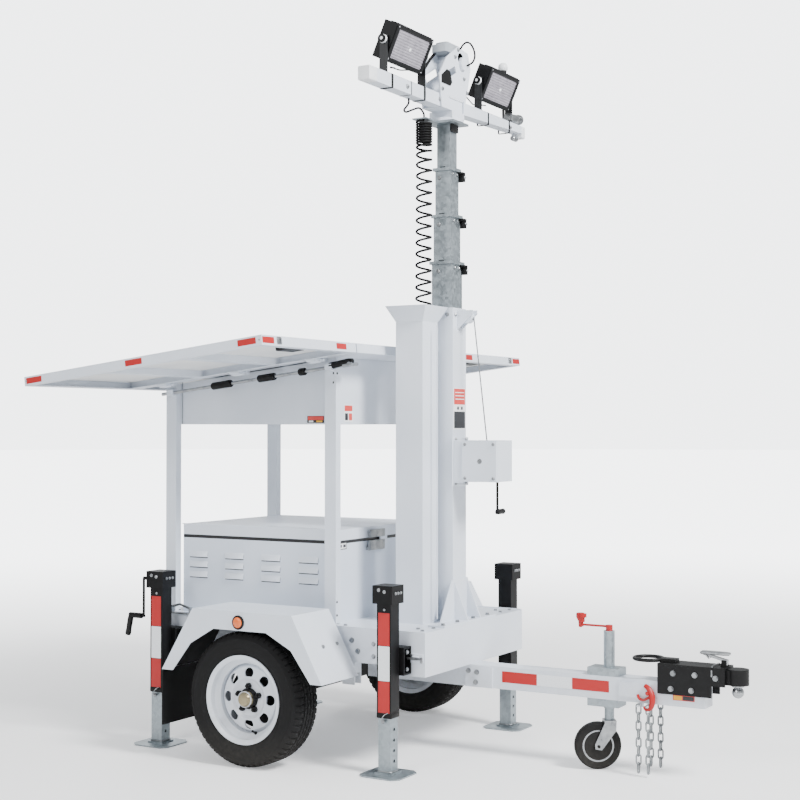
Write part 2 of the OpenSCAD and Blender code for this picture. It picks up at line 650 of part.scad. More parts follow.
module winch_rope() color(steel) from_axle() {
    run = rope_top - rope_low;
    len = norm(run);
    translate(rope_low) rotate([0, atan2(run[0], run[2]), 0]) cylinder(h = len, d = rope_d);
}

// ---- curly cord ----
cord_foot = mast_top - 60;
cord_head = section_top(4) - collar_t;
module curly_cord() color(black) from_axle()
    translate([cord_x, cord_y, cord_foot]) cylinder(h = cord_head - cord_foot, r = cord_r);

// ---- leads on the lamp head ----
function smooth(p, k) = [for (i = [0 : len(p) - 2]) for (t = [0 : 1/k : 0.999])
    let(a = p[max(i - 1, 0)], b = p[i], c = p[i + 1], d = p[min(i + 2, len(p) - 1)])
    0.5*(2*b + (c - a)*t + (2*a - 5*b + 4*c - d)*t*t + (3*b - a - 3*c + d)*t*t*t)];
function path_of(p, k) = concat(smooth(p, k), [p[len(p) - 1]]);
function unit(v) = v/norm(v);
function tangent(p, i) = unit(p[min(i + 1, len(p) - 1)] - p[max(i - 1, 0)]);
lead_sides = 8;
// Round tube of diameter d along a path, with flat ends
module tube_along(path, d) {
    n = len(path);
    rings = [for (i = [0 : n - 1]) let(t = tangent(path, i), u = unit(cross(t, [0.31, 0.12, 0.94])),
        v = cross(t, u)) for (j = [0 : lead_sides - 1])
        path[i] + d/2*(cos(360*j/lead_sides)*u + sin(360*j/lead_sides)*v)];
    sides = [for (i = [0 : n - 2]) for (j = [0 : lead_sides - 1])
        let(k = (j + 1) % lead_sides, a = i*lead_sides, b = a + lead_sides)
        each [[a + j, a + k, b + k], [a + j, b + k, b + j]]];
    polyhedron(rings, concat([[for (j = [lead_sides - 1 : -1 : 0]) j]], sides,
        [[for (j = [0 : lead_sides - 1]) (n - 1)*lead_sides + j]]));
}
// Routes measured from the mast's axis and the turntable
feed_route = [[-40, -150, -2], [-40, -150, 22], [-40, -190, 40], [-40, -250, 22], [-40, -310, 0],
    [-32, -344, 2], [-12, -360, 10], [2, -362, 26], [2, -362, 46.7]];
feed_d = 9;
module lamp_leads() color(black) from_axle() translate([mast_x, 0, pan_z]) {
    tube_along(path_of(feed_route, 4), feed_d);
}

// ---- lamp head ----
pan_z = section_top(4) - collar_t + 10 + gap;
bar_z = pan_z + 76;
bar_x = mast_x + 20;
hub_z = pan_z + 300;
cheek = [[-155, pan_z + 44], [-178, pan_z + 190], [-110, pan_z + 280], [0, pan_z + 352],
    [100, pan_z + 340], [128, pan_z + 270], [100, pan_z + 170], [58, pan_z + 44]];
module head_frame() color(white) from_axle() {
    translate([mast_x, 0, 0]) {
        translate([0, 0, pan_z]) cylinder(h = 14, r = 78);
        translate([-60, -60, pan_z + 14]) cube([120, 120, 30]);
    }
    for (x = [mast_x - 46, mast_x + 52]) difference() {
        cross_plate(cheek, x, x + 6);
        rod([x - 1, 40, hub_z - 20], "x", 8, 60);
        translate([x - 1, -120, pan_z + 170]) rotate([28, 0, 0]) cube([8, 120, 34]);
        box(x - 1, x + 7, -bar_w/2 - 60, 60, bar_z - bar_w/2 - gap, bar_z + bar_w/2 + gap);
    }
    // Pivot drum between the cheeks
    rod([mast_x - 60, 40, hub_z - 20], "x", 132, 60 - 2*gap);
    rod([mast_x - 40, 40, hub_z - 20], "x", 92 - gap, 118);
    box(mast_x - 40, mast_x + 52, -150, 52, pan_z + 44, bar_z - bar_w/2 - gap);
}
module crossbar() color(white) from_axle() {
    difference() {
        box(bar_x - bar_w/2, bar_x + bar_w/2, -bar_half_l, -60, bar_z - bar_w/2, bar_z + bar_w/2);
        box(bar_x - bar_w/2 + 4, bar_x + bar_w/2 - 4, -bar_half_l + 4, -59,
            bar_z - bar_w/2 + 4, bar_z + bar_w/2 - 4);
    }
    // The far half is a tapered box arm
    cross_plate([[-60, bar_z - bar_w/2], [60, bar_z - bar_w/2], [bar_half_l - 30, bar_z - 6],
        [bar_half_l - 30, bar_z + bar_w/2], [-60, bar_z + bar_w/2]], bar_x - bar_w/2, bar_x + bar_w/2);
    // Floodlight brackets
    for (s = [-1, 1]) translate([bar_x, s*lamp_y, 0]) bracket();
}
bracket_t = 5;
bracket_half = lamp_w/2 + 8;
lamp_z = bar_z + bar_w/2 + 148;
lamp_x = bar_x + 4;
module bracket() {
    z0 = bar_z + bar_w/2;
    difference() {
        union() {
            box(-20, 20, -bracket_half - bracket_t, bracket_half + bracket_t, z0, z0 + bracket_t);
            for (y = [-bracket_half - bracket_t, bracket_half])
                side_plate([[-20, z0], [20, z0], [22, lamp_z + 18], [-16, lamp_z + 18]], y, y + bracket_t);
        }
        rod([4, -bracket_half - 20, lamp_z], "y", 2*bracket_half + 40, 12);
    }
}
module lamp(s) {
    translate([lamp_x, s*lamp_y, lamp_z]) {
        rotate([0, lamp_tilt, 0]) {
            difference() {
                box(-lamp_t/2, lamp_t/2, -lamp_w/2, lamp_w/2, -lamp_h/2, lamp_h/2);
                box(lamp_t/2 - 6, lamp_t/2 + 1, -lamp_w/2 + 26, lamp_w/2 - 26, -lamp_h/2 + 18, lamp_h/2 - 18);
                for (k = [0 : 12]) box(-lamp_t/2 - 1, -lamp_t/2 + 30, -lamp_w/2 + 14 + 22*k,
                    -lamp_w/2 + 26 + 22*k, -lamp_h/2 - 1, lamp_h/2 + 1);
            }
            box(lamp_t/2 - 6, lamp_t/2 - 2, -lamp_w/2 + 26, lamp_w/2 - 26, -lamp_h/2 + 18, lamp_h/2 - 18);
        }
        // Pivot studs with their knobs outside the bracket
        rod([0, -bracket_half - bracket_t - 22, 0], "y", 2*(bracket_half + bracket_t + 22), 12 - 2*bore_gap);
        for (y = [-bracket_half - bracket_t - 22, bracket_half + bracket_t + gap])
            rod([0, y, 0], "y", 22 - gap, 36);
    }
}
module lamp_left() color(black) from_axle() lamp(1);
module lamp_right() color(black) from_axle() lamp(-1);

// ---- jockey wheel ----
post_wall = 3;
post_z0 = drawbar_z - 44;
post_z1 = 600;
screw_d = 16;
trail = 52;
fork_turn = 32;
module jockey_post() color(zinc) from_axle() {
    translate([jockey_x, 0, 0]) {
        difference() {
            rod([0, 0, post_z0], "z", post_z1 - post_z0, jockey_d);
            rod([0, 0, post_z0 - 1], "z", post_z1 - post_z0 - 4, jockey_d - 2*post_wall);
            rod([0, 0, post_z1 - 10], "z", 20, screw_d);
        }
        // Clamp plates above and below the drawbar
        for (z = [drawbar_z - 34, drawbar_z + drawbar_w]) difference() {
            box(-85, 60, -drawbar_w/2 + 4, drawbar_w/2 - 4, z, z + 34);
            rod([0, 0, z - 1], "z", 36, jockey_d + 2*gap);
        }
    }
}
module jockey_leg() color(zinc) from_axle() translate([jockey_x, 0, 0]) {
    difference() {
        rod([0, 0, 214], "z", 300, jockey_d - 2*post_wall - 2*bore_gap);
        rod([0, 0, 236], "z", 300, jockey_d - 2*post_wall - 8);
        rod([0, 0, 213], "z", 30, 20);
    }
    translate([0, 0, 500]) difference() {
        cylinder(h = 14, d = jockey_d - 2*post_wall - 6);
        translate([0, 0, -1]) cylinder(h = 16, d = screw_d + 2*bore_gap);
    }
}
jockey_crank_r = 128;
module jockey_crank() color("#c3262b") from_axle() translate([jockey_x, 0, 0]) {
    rod([0, 0, 330], "z", post_z1 + 22 - 330, screw_d - 2*bore_gap);
    rod([0, 0, post_z1 + gap], "z", 24, 30);
    rod([-jockey_crank_r, 0, post_z1 + 18], "x", jockey_crank_r, 10);
    rod([-jockey_crank_r, 0, post_z1 + 10], "z", 60, 12);
    rod([-jockey_crank_r, 0, post_z1 + 30], "z", 30, 24);
    rod([-jockey_crank_r, 0, post_z1 + 50], "z", 16, 40);
}
module jockey_turn() { translate([jockey_x, 0, 0]) rotate(fork_turn) children(); }
wheel_half = 24;
module jockey_fork() color(zinc) from_axle() jockey_turn() {
    rod([0, 0, 206], "z", 34, 20 - 2*bore_gap);
    for (s = [-1, 1]) difference() {
        side_plate([[-26, 206], [-26, 202], [-trail - 16, 110], [-trail - 14, 90], [-trail + 14, 86],
            [24, 170], [26, 206]], s*(wheel_half + 7) - 3, s*(wheel_half + 7) + 3);
        rod([-trail, s*(wheel_half + 7) - 10, jockey_r], "y", 20, 14);
    }
    box(-26, 26, -wheel_half - 10, wheel_half + 10, 206, 213.6);
}
module jockey_wheel() color(black) from_axle() jockey_turn() translate([-trail, 0, jockey_r]) {
    rotate([90, 0, 0]) rotate_extrude($fn = 72) polygon([[14, -22], [jockey_r - 34, -18],
        [jockey_r - 30, -22], [jockey_r - 8, -22], [jockey_r, -12], [jockey_r, 12], [jockey_r - 8, 22],
        [jockey_r - 30, 22], [jockey_r - 34, 18], [14, 22]]);
    rod([0, -wheel_half - 14, 0], "y", 2*wheel_half + 28, 14 - 2*bore_gap);
    rod([0, -wheel_half + 1, 0], "y", 2*wheel_half - 2, 40);
}

// ---- coupler ----
coupler_x = drawbar_front - 206;
channel_half = 60;
channel_z = drawbar_z + drawbar_w;
channel_h = 78;
module coupler_body() color(black) from_axle() {
    nose = coupler_nose;
    difference() {
        box(coupler_x, drawbar_front + 88, -channel_half, channel_half, channel_z - 50, channel_z + channel_h);
        box(coupler_x - 1, drawbar_front + 89, -channel_half + 10, channel_half - 10,
            channel_z - 51, channel_z + channel_h - 10);
        box(drawbar_front + 30, drawbar_front + 89, -channel_half - 1, channel_half + 1,
            channel_z - 51, channel_z);
    }
    box(coupler_x, drawbar_front, -channel_half + 10, channel_half - 10, channel_z, channel_z + 8);
    // Rounded coupler head
    rod([nose - 46, 0, channel_z + 6], "z", channel_h - 12, 92);
    box(drawbar_front + 60, nose - 46, -40, 40, channel_z + 6, channel_z + channel_h - 10);
    // Ears and pin that the latch turns on
    translate([drawbar_front + 70, 0, channel_z + channel_h]) {
        for (y = [-18, 12]) side_plate([[-14, -1], [14, -1], [8, 27], [-8, 27]], y, y + 6);
        rod([0, -20, latch_z], "y", 40, latch_pin);
    }
}
latch_z = 18;
latch_pin = 10;
ball_z = channel_z - 26;
module tow_ball() color(steel) from_axle() translate([coupler_nose - 46, 0, 0]) {
    sphere_at = ball_z;
    translate([0, 0, sphere_at]) sphere(d = ball_d);
    rod([0, 0, sphere_at], "z", channel_z + 6 - sphere_at, 28);
    rod([0, 0, channel_z - 2], "z", 8, 52);
}
eye_r = 62;
module coupler_eye() color(black) from_axle() translate([coupler_x - 60, 0, channel_z + channel_h + 8]) {
    rotate_extrude($fn = 72) translate([eye_r, 0]) circle(d = 16);
    translate([eye_r - 4, -26, -8]) cube([70, 52, 16]);
}
module coupler_latch() color(zinc) from_axle() translate([drawbar_front + 70, 0, channel_z + channel_h]) {
    difference() {
        side_plate([[-10, 6], [12, 6], [14, 28], [-90, 52], [-92, 44], [-14, 24]], -11.5, 11.5);
        rod([0, -20, latch_z], "y", 40, latch_pin + 2*bore_gap);
    }
}

// ---- safety chains ----
link_l = 36;                     // inside length of a link
link_w = 14;                     // inside width of a link
wire_d = 7;
module link() {
    r = (link_w + wire_d)/2;
    straight = link_l - link_w;
    for (s = [-1, 1]) {
        rod([s*r, 0, -straight/2], "z", straight, wire_d);
        translate([0, 0, s*straight/2]) rotate([90, 0, 0]) rotate_extrude(angle = 180*s, $fn = 32)
            translate([r, 0]) circle(d = wire_d, $fn = 16);
    }
}
chain_x = 1592;
chain_y = drawbar_w/2 + 24;
pitch = link_l - gap;
chain_top = drawbar_z - 22;
module safety_chains() color(zinc) from_axle() both() for (run = [0, 1])
    for (i = [0 : 7]) translate([chain_x - 44*run, chain_y, chain_top - i*pitch])
        rotate([0, 0, 90*(i % 2)]) link();

// ---- fasteners ----
module fasteners() color(zinc) from_axle() {
    both() for (p = [[362, 544], [393, 498], [-362, 544], [-393, 498], [30, 544]])
        bolt_at([p[0], chassis_half_w, p[1]], [-90, 0, 0], 12);
    both() for (p = [[723, 380], [765, 376], [760, 330]])
        bolt_at([p[0], drawbar_w/2 + splice_t, p[1]], [-90, 0, 0], 12);
    both() for (p = [[coupler_x + 60, channel_z - 26], [coupler_x + 150, channel_z - 26],
        [coupler_x + 70, channel_z + 40], [coupler_x + 165, channel_z + 40], [coupler_x + 255, channel_z + 34]])
        bolt_at([p[0], channel_half, p[1]], [-90, 0, 0], 12);
    for (y = [-270, -135, 20, 165]) bolt_at([mast_x + mast_w/2 + 60, y, deck_z + shoe_t], [0, 0, 0], 11);
}

axle();
leaf_springs();
chassis_frame();
front_beam();
deck();
drawbar();
splice_plates();
fasteners();
fenders();
mud_flaps();
road_lights();
jack_tubes();
jack_caps();
jack_brackets();
cabinet();
batteries();
posts();
shroud();
centre_module();
mast_base();
mast_shoe();
cable_column();
winch_housing();
winch_rope();
curly_cord();
lamp_leads();
jockey_post();
jockey_crank();
coupler_body();
coupler_eye();
tow_ball();
safety_chains();
tyre_left();
rim_left();
tyre_right();
rim_right();
leg_front_left();
leg_front_right();
leg_rear_left();
leg_rear_right();
jack_crank();
cabinet_lid();
wing_left();
wing_right();
lock_rod_left();
lock_rod_right();
mast_section_1();
mast_section_2();
mast_section_3();
mast_section_4();
head_frame();
crossbar();
lamp_left();
lamp_right();
winch_drum();
winch_crank();
jockey_leg();
jockey_fork();
jockey_wheel();
coupler_latch();
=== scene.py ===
"""Mobile solar light tower on a single-axle trailer: finishes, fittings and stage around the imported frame."""
import math

import bpy
import bmesh
import numpy as np
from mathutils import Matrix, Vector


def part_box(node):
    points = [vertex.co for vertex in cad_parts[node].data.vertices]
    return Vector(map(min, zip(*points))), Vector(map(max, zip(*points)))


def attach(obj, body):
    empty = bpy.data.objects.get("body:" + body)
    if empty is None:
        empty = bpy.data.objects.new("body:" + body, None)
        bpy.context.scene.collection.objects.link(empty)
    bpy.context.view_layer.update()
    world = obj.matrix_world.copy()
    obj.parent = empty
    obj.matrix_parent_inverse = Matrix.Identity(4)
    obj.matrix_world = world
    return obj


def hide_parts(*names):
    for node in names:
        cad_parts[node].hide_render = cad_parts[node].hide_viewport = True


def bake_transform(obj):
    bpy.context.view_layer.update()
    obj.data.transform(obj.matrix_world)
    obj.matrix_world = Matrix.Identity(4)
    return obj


bl_info = {
    "name": "Solar light tower trailer",
    "version": (1, 0, 0),
    "blender": (4, 5, 0),
    "location": "View3D > Sidebar > Light tower",
    "description": "Finishes and fittings of a trailer with a telescopic light mast and a folding solar roof",
    "category": "Add Mesh",
}

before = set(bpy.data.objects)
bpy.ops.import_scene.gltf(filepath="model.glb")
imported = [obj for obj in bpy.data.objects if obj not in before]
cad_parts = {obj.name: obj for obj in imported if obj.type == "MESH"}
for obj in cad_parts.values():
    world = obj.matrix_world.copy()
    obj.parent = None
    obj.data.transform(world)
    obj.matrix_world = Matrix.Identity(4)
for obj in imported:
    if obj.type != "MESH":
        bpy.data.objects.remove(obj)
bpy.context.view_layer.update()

# Lengths below are in millimetres from the wheel axle line: x towards the hitch, y to the
# trailer's left, z up from the ground. AXLE is that line's place along x in the shared frame.
MM = 0.001
AXLE = sum(c[0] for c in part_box("axle"))/2
ORIGIN = np.array([AXLE, 0.0, 0.0])


def corners(node):
    """Lowest and highest corner of a frame node, in millimetres from the axle line."""
    low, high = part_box(node)
    return (np.array(low) - ORIGIN)/MM, (np.array(high) - ORIGIN)/MM


def metres(p):
    """A place in the shared frame, in metres, of one given from the axle line."""
    return np.asarray(p, float)*MM + ORIGIN


DECK = corners("deck")
DECK_Z = DECK[1][2]
CABINET = corners("cabinet")
FENDER_IN = 535.0
FENDER_OUT = 830.0
HEAD_Z = corners("head_frame")[0][2]
BAR_Z = HEAD_Z + 76
TYRE_R = 297.0
TRACK = 1450.0
MAST_X = 580.0
MAST_FRONT = MAST_X + 65
SIDES = {"left": 1, "right": -1}


# ---- shapes: every one returns its points and its faces ----

def grid_faces(rows, cols, loop_rows=False, loop_cols=False):
    """Quads between neighbouring points of a rows by cols grid; a loop joins the last line to the first."""
    i = np.arange(rows if loop_rows else rows - 1)[:, None]
    j = np.arange(cols if loop_cols else cols - 1)[None, :]
    a, b = i*cols + j, i*cols + (j + 1) % cols
    c, d = (i + 1) % rows*cols + (j + 1) % cols, (i + 1) % rows*cols + j
    return np.stack([a, b, c, d], axis=-1).reshape(-1, 4).tolist()


def skin(rings, ends=True, loop_rows=False):
    """Closed tube through rings of equally many points, with a flat face over each end."""
    rings = np.asarray(rings, float)
    n, m = rings.shape[:2]
    faces = grid_faces(n, m, loop_rows, True)
    if ends and not loop_rows:
        faces += [list(range(m - 1, -1, -1)), list(range((n - 1)*m, n*m))]
    return rings.reshape(-1, 3), faces


def join(*shapes):
    """Several shapes as one list of points and faces."""
    points, faces, first = [], [], 0
    for p, f in shapes:
        points.append(p)
        faces += [[k + first for k in face] for face in f]
        first += len(p)
    return np.concatenate(points), faces


def moved(shape, by):
    """A shape shifted by a vector."""
    return np.asarray(shape[0]) + np.asarray(by, float), shape[1]


def turned(shape, axis, degrees, about=(0, 0, 0)):
    """A shape turned about a line through a point, by Rodrigues' formula."""
    k = np.asarray(axis, float)/np.linalg.norm(axis)
    p, t = np.asarray(shape[0]) - about, math.radians(degrees)
    out = p*math.cos(t) + np.cross(k, p)*math.sin(t) + np.outer(p @ k, k)*(1 - math.cos(t))
    return out + about, shape[1]


def flipped(shape):
    """A shape mirrored through the plane y = 0."""
    return np.asarray(shape[0])*[1, -1, 1], [f[::-1] for f in shape[1]]


def both_sides(shape):
    """A shape and its mirror image across the centre line."""
    return join(shape, flipped(shape))


def round_rect(w, h, r, n=5, at=(0, 0)):
    """Rectangle w by h whose corners are quarter circles of radius r."""
    t = np.linspace(0, math.pi/2, n)
    arcs = [np.stack([sx*(w/2 - r) + r*np.cos(t + q), sy*(h/2 - r) + r*np.sin(t + q)], axis=1)
        for sx, sy, q in ((1, 1, 0), (-1, 1, math.pi/2), (-1, -1, math.pi), (1, -1, 1.5*math.pi))]
    return np.concatenate(arcs) + at


def inset(outline, by):
    """Outline moved inwards by a distance: each corner slides along the mean of its two edge normals."""
    edge = np.roll(outline, -1, axis=0) - outline
    edge /= np.maximum(np.linalg.norm(edge, axis=1, keepdims=True), 1e-9)
    normal = np.stack([-edge[:, 1], edge[:, 0]], axis=1)
    before = np.roll(normal, 1, axis=0)
    mean = (normal + before)/np.maximum(1 + (normal*before).sum(1, keepdims=True), 0.2)
    area = (outline[:, 0]*np.roll(outline[:, 1], -1) - np.roll(outline[:, 0], -1)*outline[:, 1]).sum()
    return outline + mean*by*np.sign(area)


PLANES = {"x": [1, 2, 0], "y": [0, 2, 1], "z": [0, 1, 2]}


def plate(outline, low, high, axis, bevel=1.0):
    """Outline carried from low to high along an axis; its first and last rings are inset by the bevel."""
    outline = np.asarray(outline, float)
    b = min(bevel, (high - low)*0.45)
    levels = [(low, b), (low + b, 0), (high - b, 0), (high, b)] if b > 0 else [(low, 0), (high, 0)]
    rings = []
    for level, back in levels:
        flat = inset(outline, back) if back else outline
        ring = np.empty((len(flat), 3))
        ring[:, PLANES[axis]] = np.column_stack([flat, np.full(len(flat), level)])
        rings.append(ring)
    return skin(rings)


def block(x0, x1, y0, y1, z0, z1, r=2.0):
    """Box with rounded long corners and bevelled ends, carried along z."""
    r = min(r, (x1 - x0)*0.45, (y1 - y0)*0.45)
    outline = round_rect(x1 - x0, y1 - y0, r, 3, ((x0 + x1)/2, (y0 + y1)/2))
    return plate(outline, z0, z1, "z", min(r, 1.5))


def turning(profile, origin, axis, n=32):
    """Profile of radius and height turned about an axis: (r cos t, r sin t, h)."""
    profile = np.asarray(profile, float)
    t = np.linspace(0, 2*math.pi, n, endpoint=False)
    w = np.asarray(axis, float)/np.linalg.norm(axis)
    u = np.cross(w, [0.0, 0.0, 1.0] if abs(w[2]) < 0.9 else [1.0, 0.0, 0.0])
    u /= np.linalg.norm(u)
    v = np.cross(w, u)
    r, h = profile[:, 0][:, None, None], profile[:, 1][:, None, None]
    ring = np.cos(t)[None, :, None]*u + np.sin(t)[None, :, None]*v
    points = np.asarray(origin, float) + r*ring + h*w
    return skin(points)


def ring_of(profile, origin, axis, n=48):
    """Closed profile of radius and height turned about an axis into a ring, with no ends."""
    shape = turning(profile, origin, axis, n)
    rows = len(profile)
    return shape[0], grid_faces(rows, n, True, True)


def tube(path, r, n=10, ends=True):
    """Circle of radius r, or of one radius for each point, carried along a path without twist."""
    path = np.asarray(path, float)
    t = np.gradient(path, axis=0)
    t /= np.maximum(np.linalg.norm(t, axis=1, keepdims=True), 1e-9)
    u = np.empty_like(t)
    side = np.cross(t[0], [0.31, 0.12, 0.94])
    u[0] = side/np.linalg.norm(side)
    for i in range(1, len(path)):
        side = u[i - 1] - t[i]*(u[i - 1] @ t[i])
        u[i] = side/np.linalg.norm(side)
    v = np.cross(t, u)
    a = np.linspace(0, 2*math.pi, n, endpoint=False)
    radius = np.broadcast_to(np.asarray(r, float), len(path))[:, None, None]
    rings = path[:, None] + radius*(np.cos(a)[None, :, None]*u[:, None] + np.sin(a)[None, :, None]*v[:, None])
    return skin(rings, ends)


def smooth_path(points, steps=8):
    """Catmull-Rom curve through the points, with a number of steps for each span."""
    p = np.asarray(points, float)
    q = np.concatenate([p[:1], p, p[-1:]])
    t = (np.arange(steps)/steps)[None, :, None]
    a, b, c, d = (q[k:len(q) - 3 + k][:, None] for k in range(4))
    curve = 0.5*(2*b + (c - a)*t + (2*a - 5*b + 4*c - d)*t**2 + (3*b - a - 3*c + d)*t**3)
    return np.concatenate([curve.reshape(-1, 3), p[-1:]])


def bolt(at, axis, d, washer=True):
    """Hexagon head with a chamfered crown on a round washer."""
    head = turning([[0.86*d, 0.14*d], [0.98*d, 0.2*d], [0.98*d, 0.68*d], [0.8*d, 0.82*d]], at, axis, 6)
    if not washer:
        return head
    return join(head, turning([[1.2*d, 0.0], [1.2*d, 0.12*d], [1.1*d, 0.17*d]], at, axis, 20))


def bolts(places, axis, d, washer=True):
    """The same bolt at several places."""
    return join(*[bolt(p, axis, d, washer) for p in places])


def screw(at, axis, d):
    """Domed screw head."""
    return turning([[0.5*d, 0.0], [0.5*d, 0.08*d], [0.38*d, 0.22*d], [0.18*d, 0.28*d]], at, axis, 12)


def mesh_piece(name, shape, body, finish, smooth=35.0):
    """Puts a shape into a mesh at the origin, closes it and faces it outwards, rounds its shading up to an angle and
    hangs it on a body.
    """
    points, faces = shape
    mesh = bpy.data.meshes.new(name)
    mesh.from_pydata(metres(points).tolist(), [], faces)
    work = bmesh.new()
    work.from_mesh(mesh)
    bmesh.ops.remove_doubles(work, verts=work.verts, dist=1e-6)
    bmesh.ops.recalc_face_normals(work, faces=work.faces)
    limit = math.radians(smooth)
    for face in work.faces:
        face.smooth = smooth > 0
    for edge in work.edges:
        edge.smooth = len(edge.link_faces) == 2 and edge.calc_face_angle(0.0) < limit
    work.to_mesh(mesh)
    work.free()
    mesh.materials.append(finish)
    piece = bpy.data.objects.new(name, mesh)
    bpy.context.scene.collection.objects.link(piece)
    if body is not None:
        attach(piece, body)
    return piece


# ---- finishes ----
# A Mix node of colours takes its factor at socket 0 and its colours at 6 and 7, and gives its colour at 2.

def colour(code):
    """Linear red, green, blue and alpha of an sRGB hex value."""
    c = np.array([int(code[i:i + 2], 16) for i in (1, 3, 5)])/255
    c = np.where(c <= 0.04045, c/12.92, ((c + 0.055)/1.055)**2.4)
    return (*c.tolist(), 1.0)


def add(tree, kind, inputs=None, stops=None, **settings):
    """Adds a node with its settings and, on a ramp, its (place, hex or grey) stops. An input that is a socket is
    linked, and any other is set.
    """
    node = tree.nodes.new("ShaderNode" + kind)
    for key, value in settings.items():
        setattr(node, key, value)
    if stops:
        while len(node.color_ramp.elements) < len(stops):
            node.color_ramp.elements.new(0.5)
        for element, (place, shade) in zip(node.color_ramp.elements, stops):
            element.position = place
            element.color = colour(shade) if isinstance(shade, str) else (shade, shade, shade, 1)
    for key, value in (inputs or {}).items():
        if isinstance(value, bpy.types.NodeSocket):
            tree.links.new(value, node.inputs[key])
        else:
            node.inputs[key].default_value = value
    return node


def blank(name):
    """Material with an empty tree, its output and its object coordinates."""
    material = bpy.data.materials.new(name)
    material.use_nodes = True
    tree = material.node_tree
    tree.nodes.clear()
    output = add(tree, "OutputMaterial")
    place = add(tree, "TexCoord").outputs["Object"]
    return material, tree, output, place


def finish_of(name, shades, size_mm, rough, metallic=0.0, ior=1.5, bump=0.0, bump_mm=2.0, coat=0.0,
        gloss=0.5, bands=None, dust=None):
    """General finish: noise of a real size moves the colour between shades and the roughness round its value, and a
    finer noise lifts the surface. bands are (axis, low, high, hex) layers in metres that take another colour.
    """
    material, tree, output, place = blank(name)
    cloud = add(tree, "TexNoise", {"Vector": place, "Scale": 1000/size_mm, "Detail": 4.0}).outputs["Fac"]
    base = add(tree, "ValToRGB", {0: cloud}, stops=[(0.3, shades[0]), (0.7, shades[1])]).outputs[0]
    if dust:
        height = add(tree, "SeparateXYZ", {0: place}).outputs["Z"]
        low = add(tree, "MapRange", {"Value": height, "From Min": 0.05, "From Max": dust[1], "To Min": 0.55,
            "To Max": 0.0}).outputs[0]
        speck = add(tree, "TexNoise", {"Vector": place, "Scale": 60.0, "Detail": 6.0}).outputs["Fac"]
        amount = add(tree, "Math", {0: low, 1: speck}, operation="MULTIPLY").outputs[0]
        base = add(tree, "Mix", {0: amount, 6: base, 7: colour(dust[0])}, data_type="RGBA").outputs[2]
    for axis, low, high, shade in bands or ():
        part = add(tree, "SeparateXYZ", {0: place}).outputs[axis]
        above = add(tree, "Math", {0: part, 1: low}, operation="GREATER_THAN").outputs[0]
        below = add(tree, "Math", {0: part, 1: high}, operation="LESS_THAN").outputs[0]
        inside = add(tree, "Math", {0: above, 1: below}, operation="MULTIPLY").outputs[0]
        base = add(tree, "Mix", {0: inside, 6: base, 7: colour(shade)}, data_type="RGBA").outputs[2]
    roughness = add(tree, "MapRange", {"Value": cloud, "To Min": max(rough - 0.08, 0.02),
        "To Max": min(rough + 0.08, 1.0)}).outputs[0]
    shader = add(tree, "BsdfPrincipled", {"Base Color": base, "Roughness": roughness, "Metallic": metallic,
        "IOR": ior, "Coat Weight": coat, "Coat Roughness": 0.12, "Specular IOR Level": gloss})
    if bump:
        grain = add(tree, "TexNoise", {"Vector": place, "Scale": 1000/bump_mm, "Detail": 3.0}).outputs["Fac"]
        lift = add(tree, "Bump", {"Strength": bump, "Distance": 0.0006, "Height": grain}).outputs[0]
        tree.links.new(lift, shader.inputs["Normal"])
    tree.links.new(shader.outputs[0], output.inputs["Surface"])
    return material


def galvanised(name, light, dark, rough=0.42):
    """Hot-dip zinc: crystals about 14 mm across, each a slightly different grey and gloss."""
    material, tree, output, place = blank(name)
    warp = add(tree, "TexNoise", {"Vector": place, "Scale": 40.0, "Detail": 2.0}).outputs["Color"]
    bent = add(tree, "Mix", {0: 0.02, 6: place, 7: warp}, data_type="RGBA").outputs[2]
    cells = add(tree, "TexVoronoi", {"Vector": bent, "Scale": 70.0}, feature="F1")
    grey = add(tree, "SeparateColor", {0: cells.outputs["Color"]}).outputs[0]
    wash = add(tree, "TexNoise", {"Vector": place, "Scale": 9.0, "Detail": 5.0}).outputs["Fac"]
    total = add(tree, "Math", {0: grey, 1: wash}, operation="ADD").outputs[0]
    both = add(tree, "Math", {0: total, 1: 0.5}, operation="MULTIPLY").outputs[0]
    base = add(tree, "ValToRGB", {0: both}, stops=[(0.2, dark), (0.8, light)]).outputs[0]
    roughness = add(tree, "MapRange", {"Value": grey, "To Min": rough - 0.1, "To Max": rough + 0.12}).outputs[0]
    shader = add(tree, "BsdfPrincipled", {"Base Color": base, "Roughness": roughness, "Metallic": 0.85})
    lift = add(tree, "Bump", {"Strength": 0.12, "Distance": 0.0004, "Height": wash}).outputs[0]
    tree.links.new(lift, shader.inputs["Normal"])
    tree.links.new(shader.outputs[0], output.inputs["Surface"])
    return material


def reflective(name, shade):
    """Prismatic marking tape: small lozenge cells about 4 mm across under a clear film, glossy and bright."""
    material, tree, output, place = blank(name)
    cells = add(tree, "TexVoronoi", {"Vector": place, "Scale": 240.0}, feature="DISTANCE_TO_EDGE").outputs[0]
    line = add(tree, "ValToRGB", {0: cells}, stops=[(0.0, 0.0), (0.12, 1.0)]).outputs[0]
    edge = add(tree, "Mix", {0: 0.15, 6: colour(shade), 7: colour("#3a3a3c")}, data_type="RGBA").outputs[2]
    base = add(tree, "Mix", {0: line, 6: edge, 7: colour(shade)}, data_type="RGBA").outputs[2]
    shader = add(tree, "BsdfPrincipled", {"Base Color": base, "Roughness": 0.45, "IOR": 1.5,
        "Coat Weight": 0.15, "Coat Roughness": 0.2})
    tree.links.new(shader.outputs[0], output.inputs["Surface"])
    return material


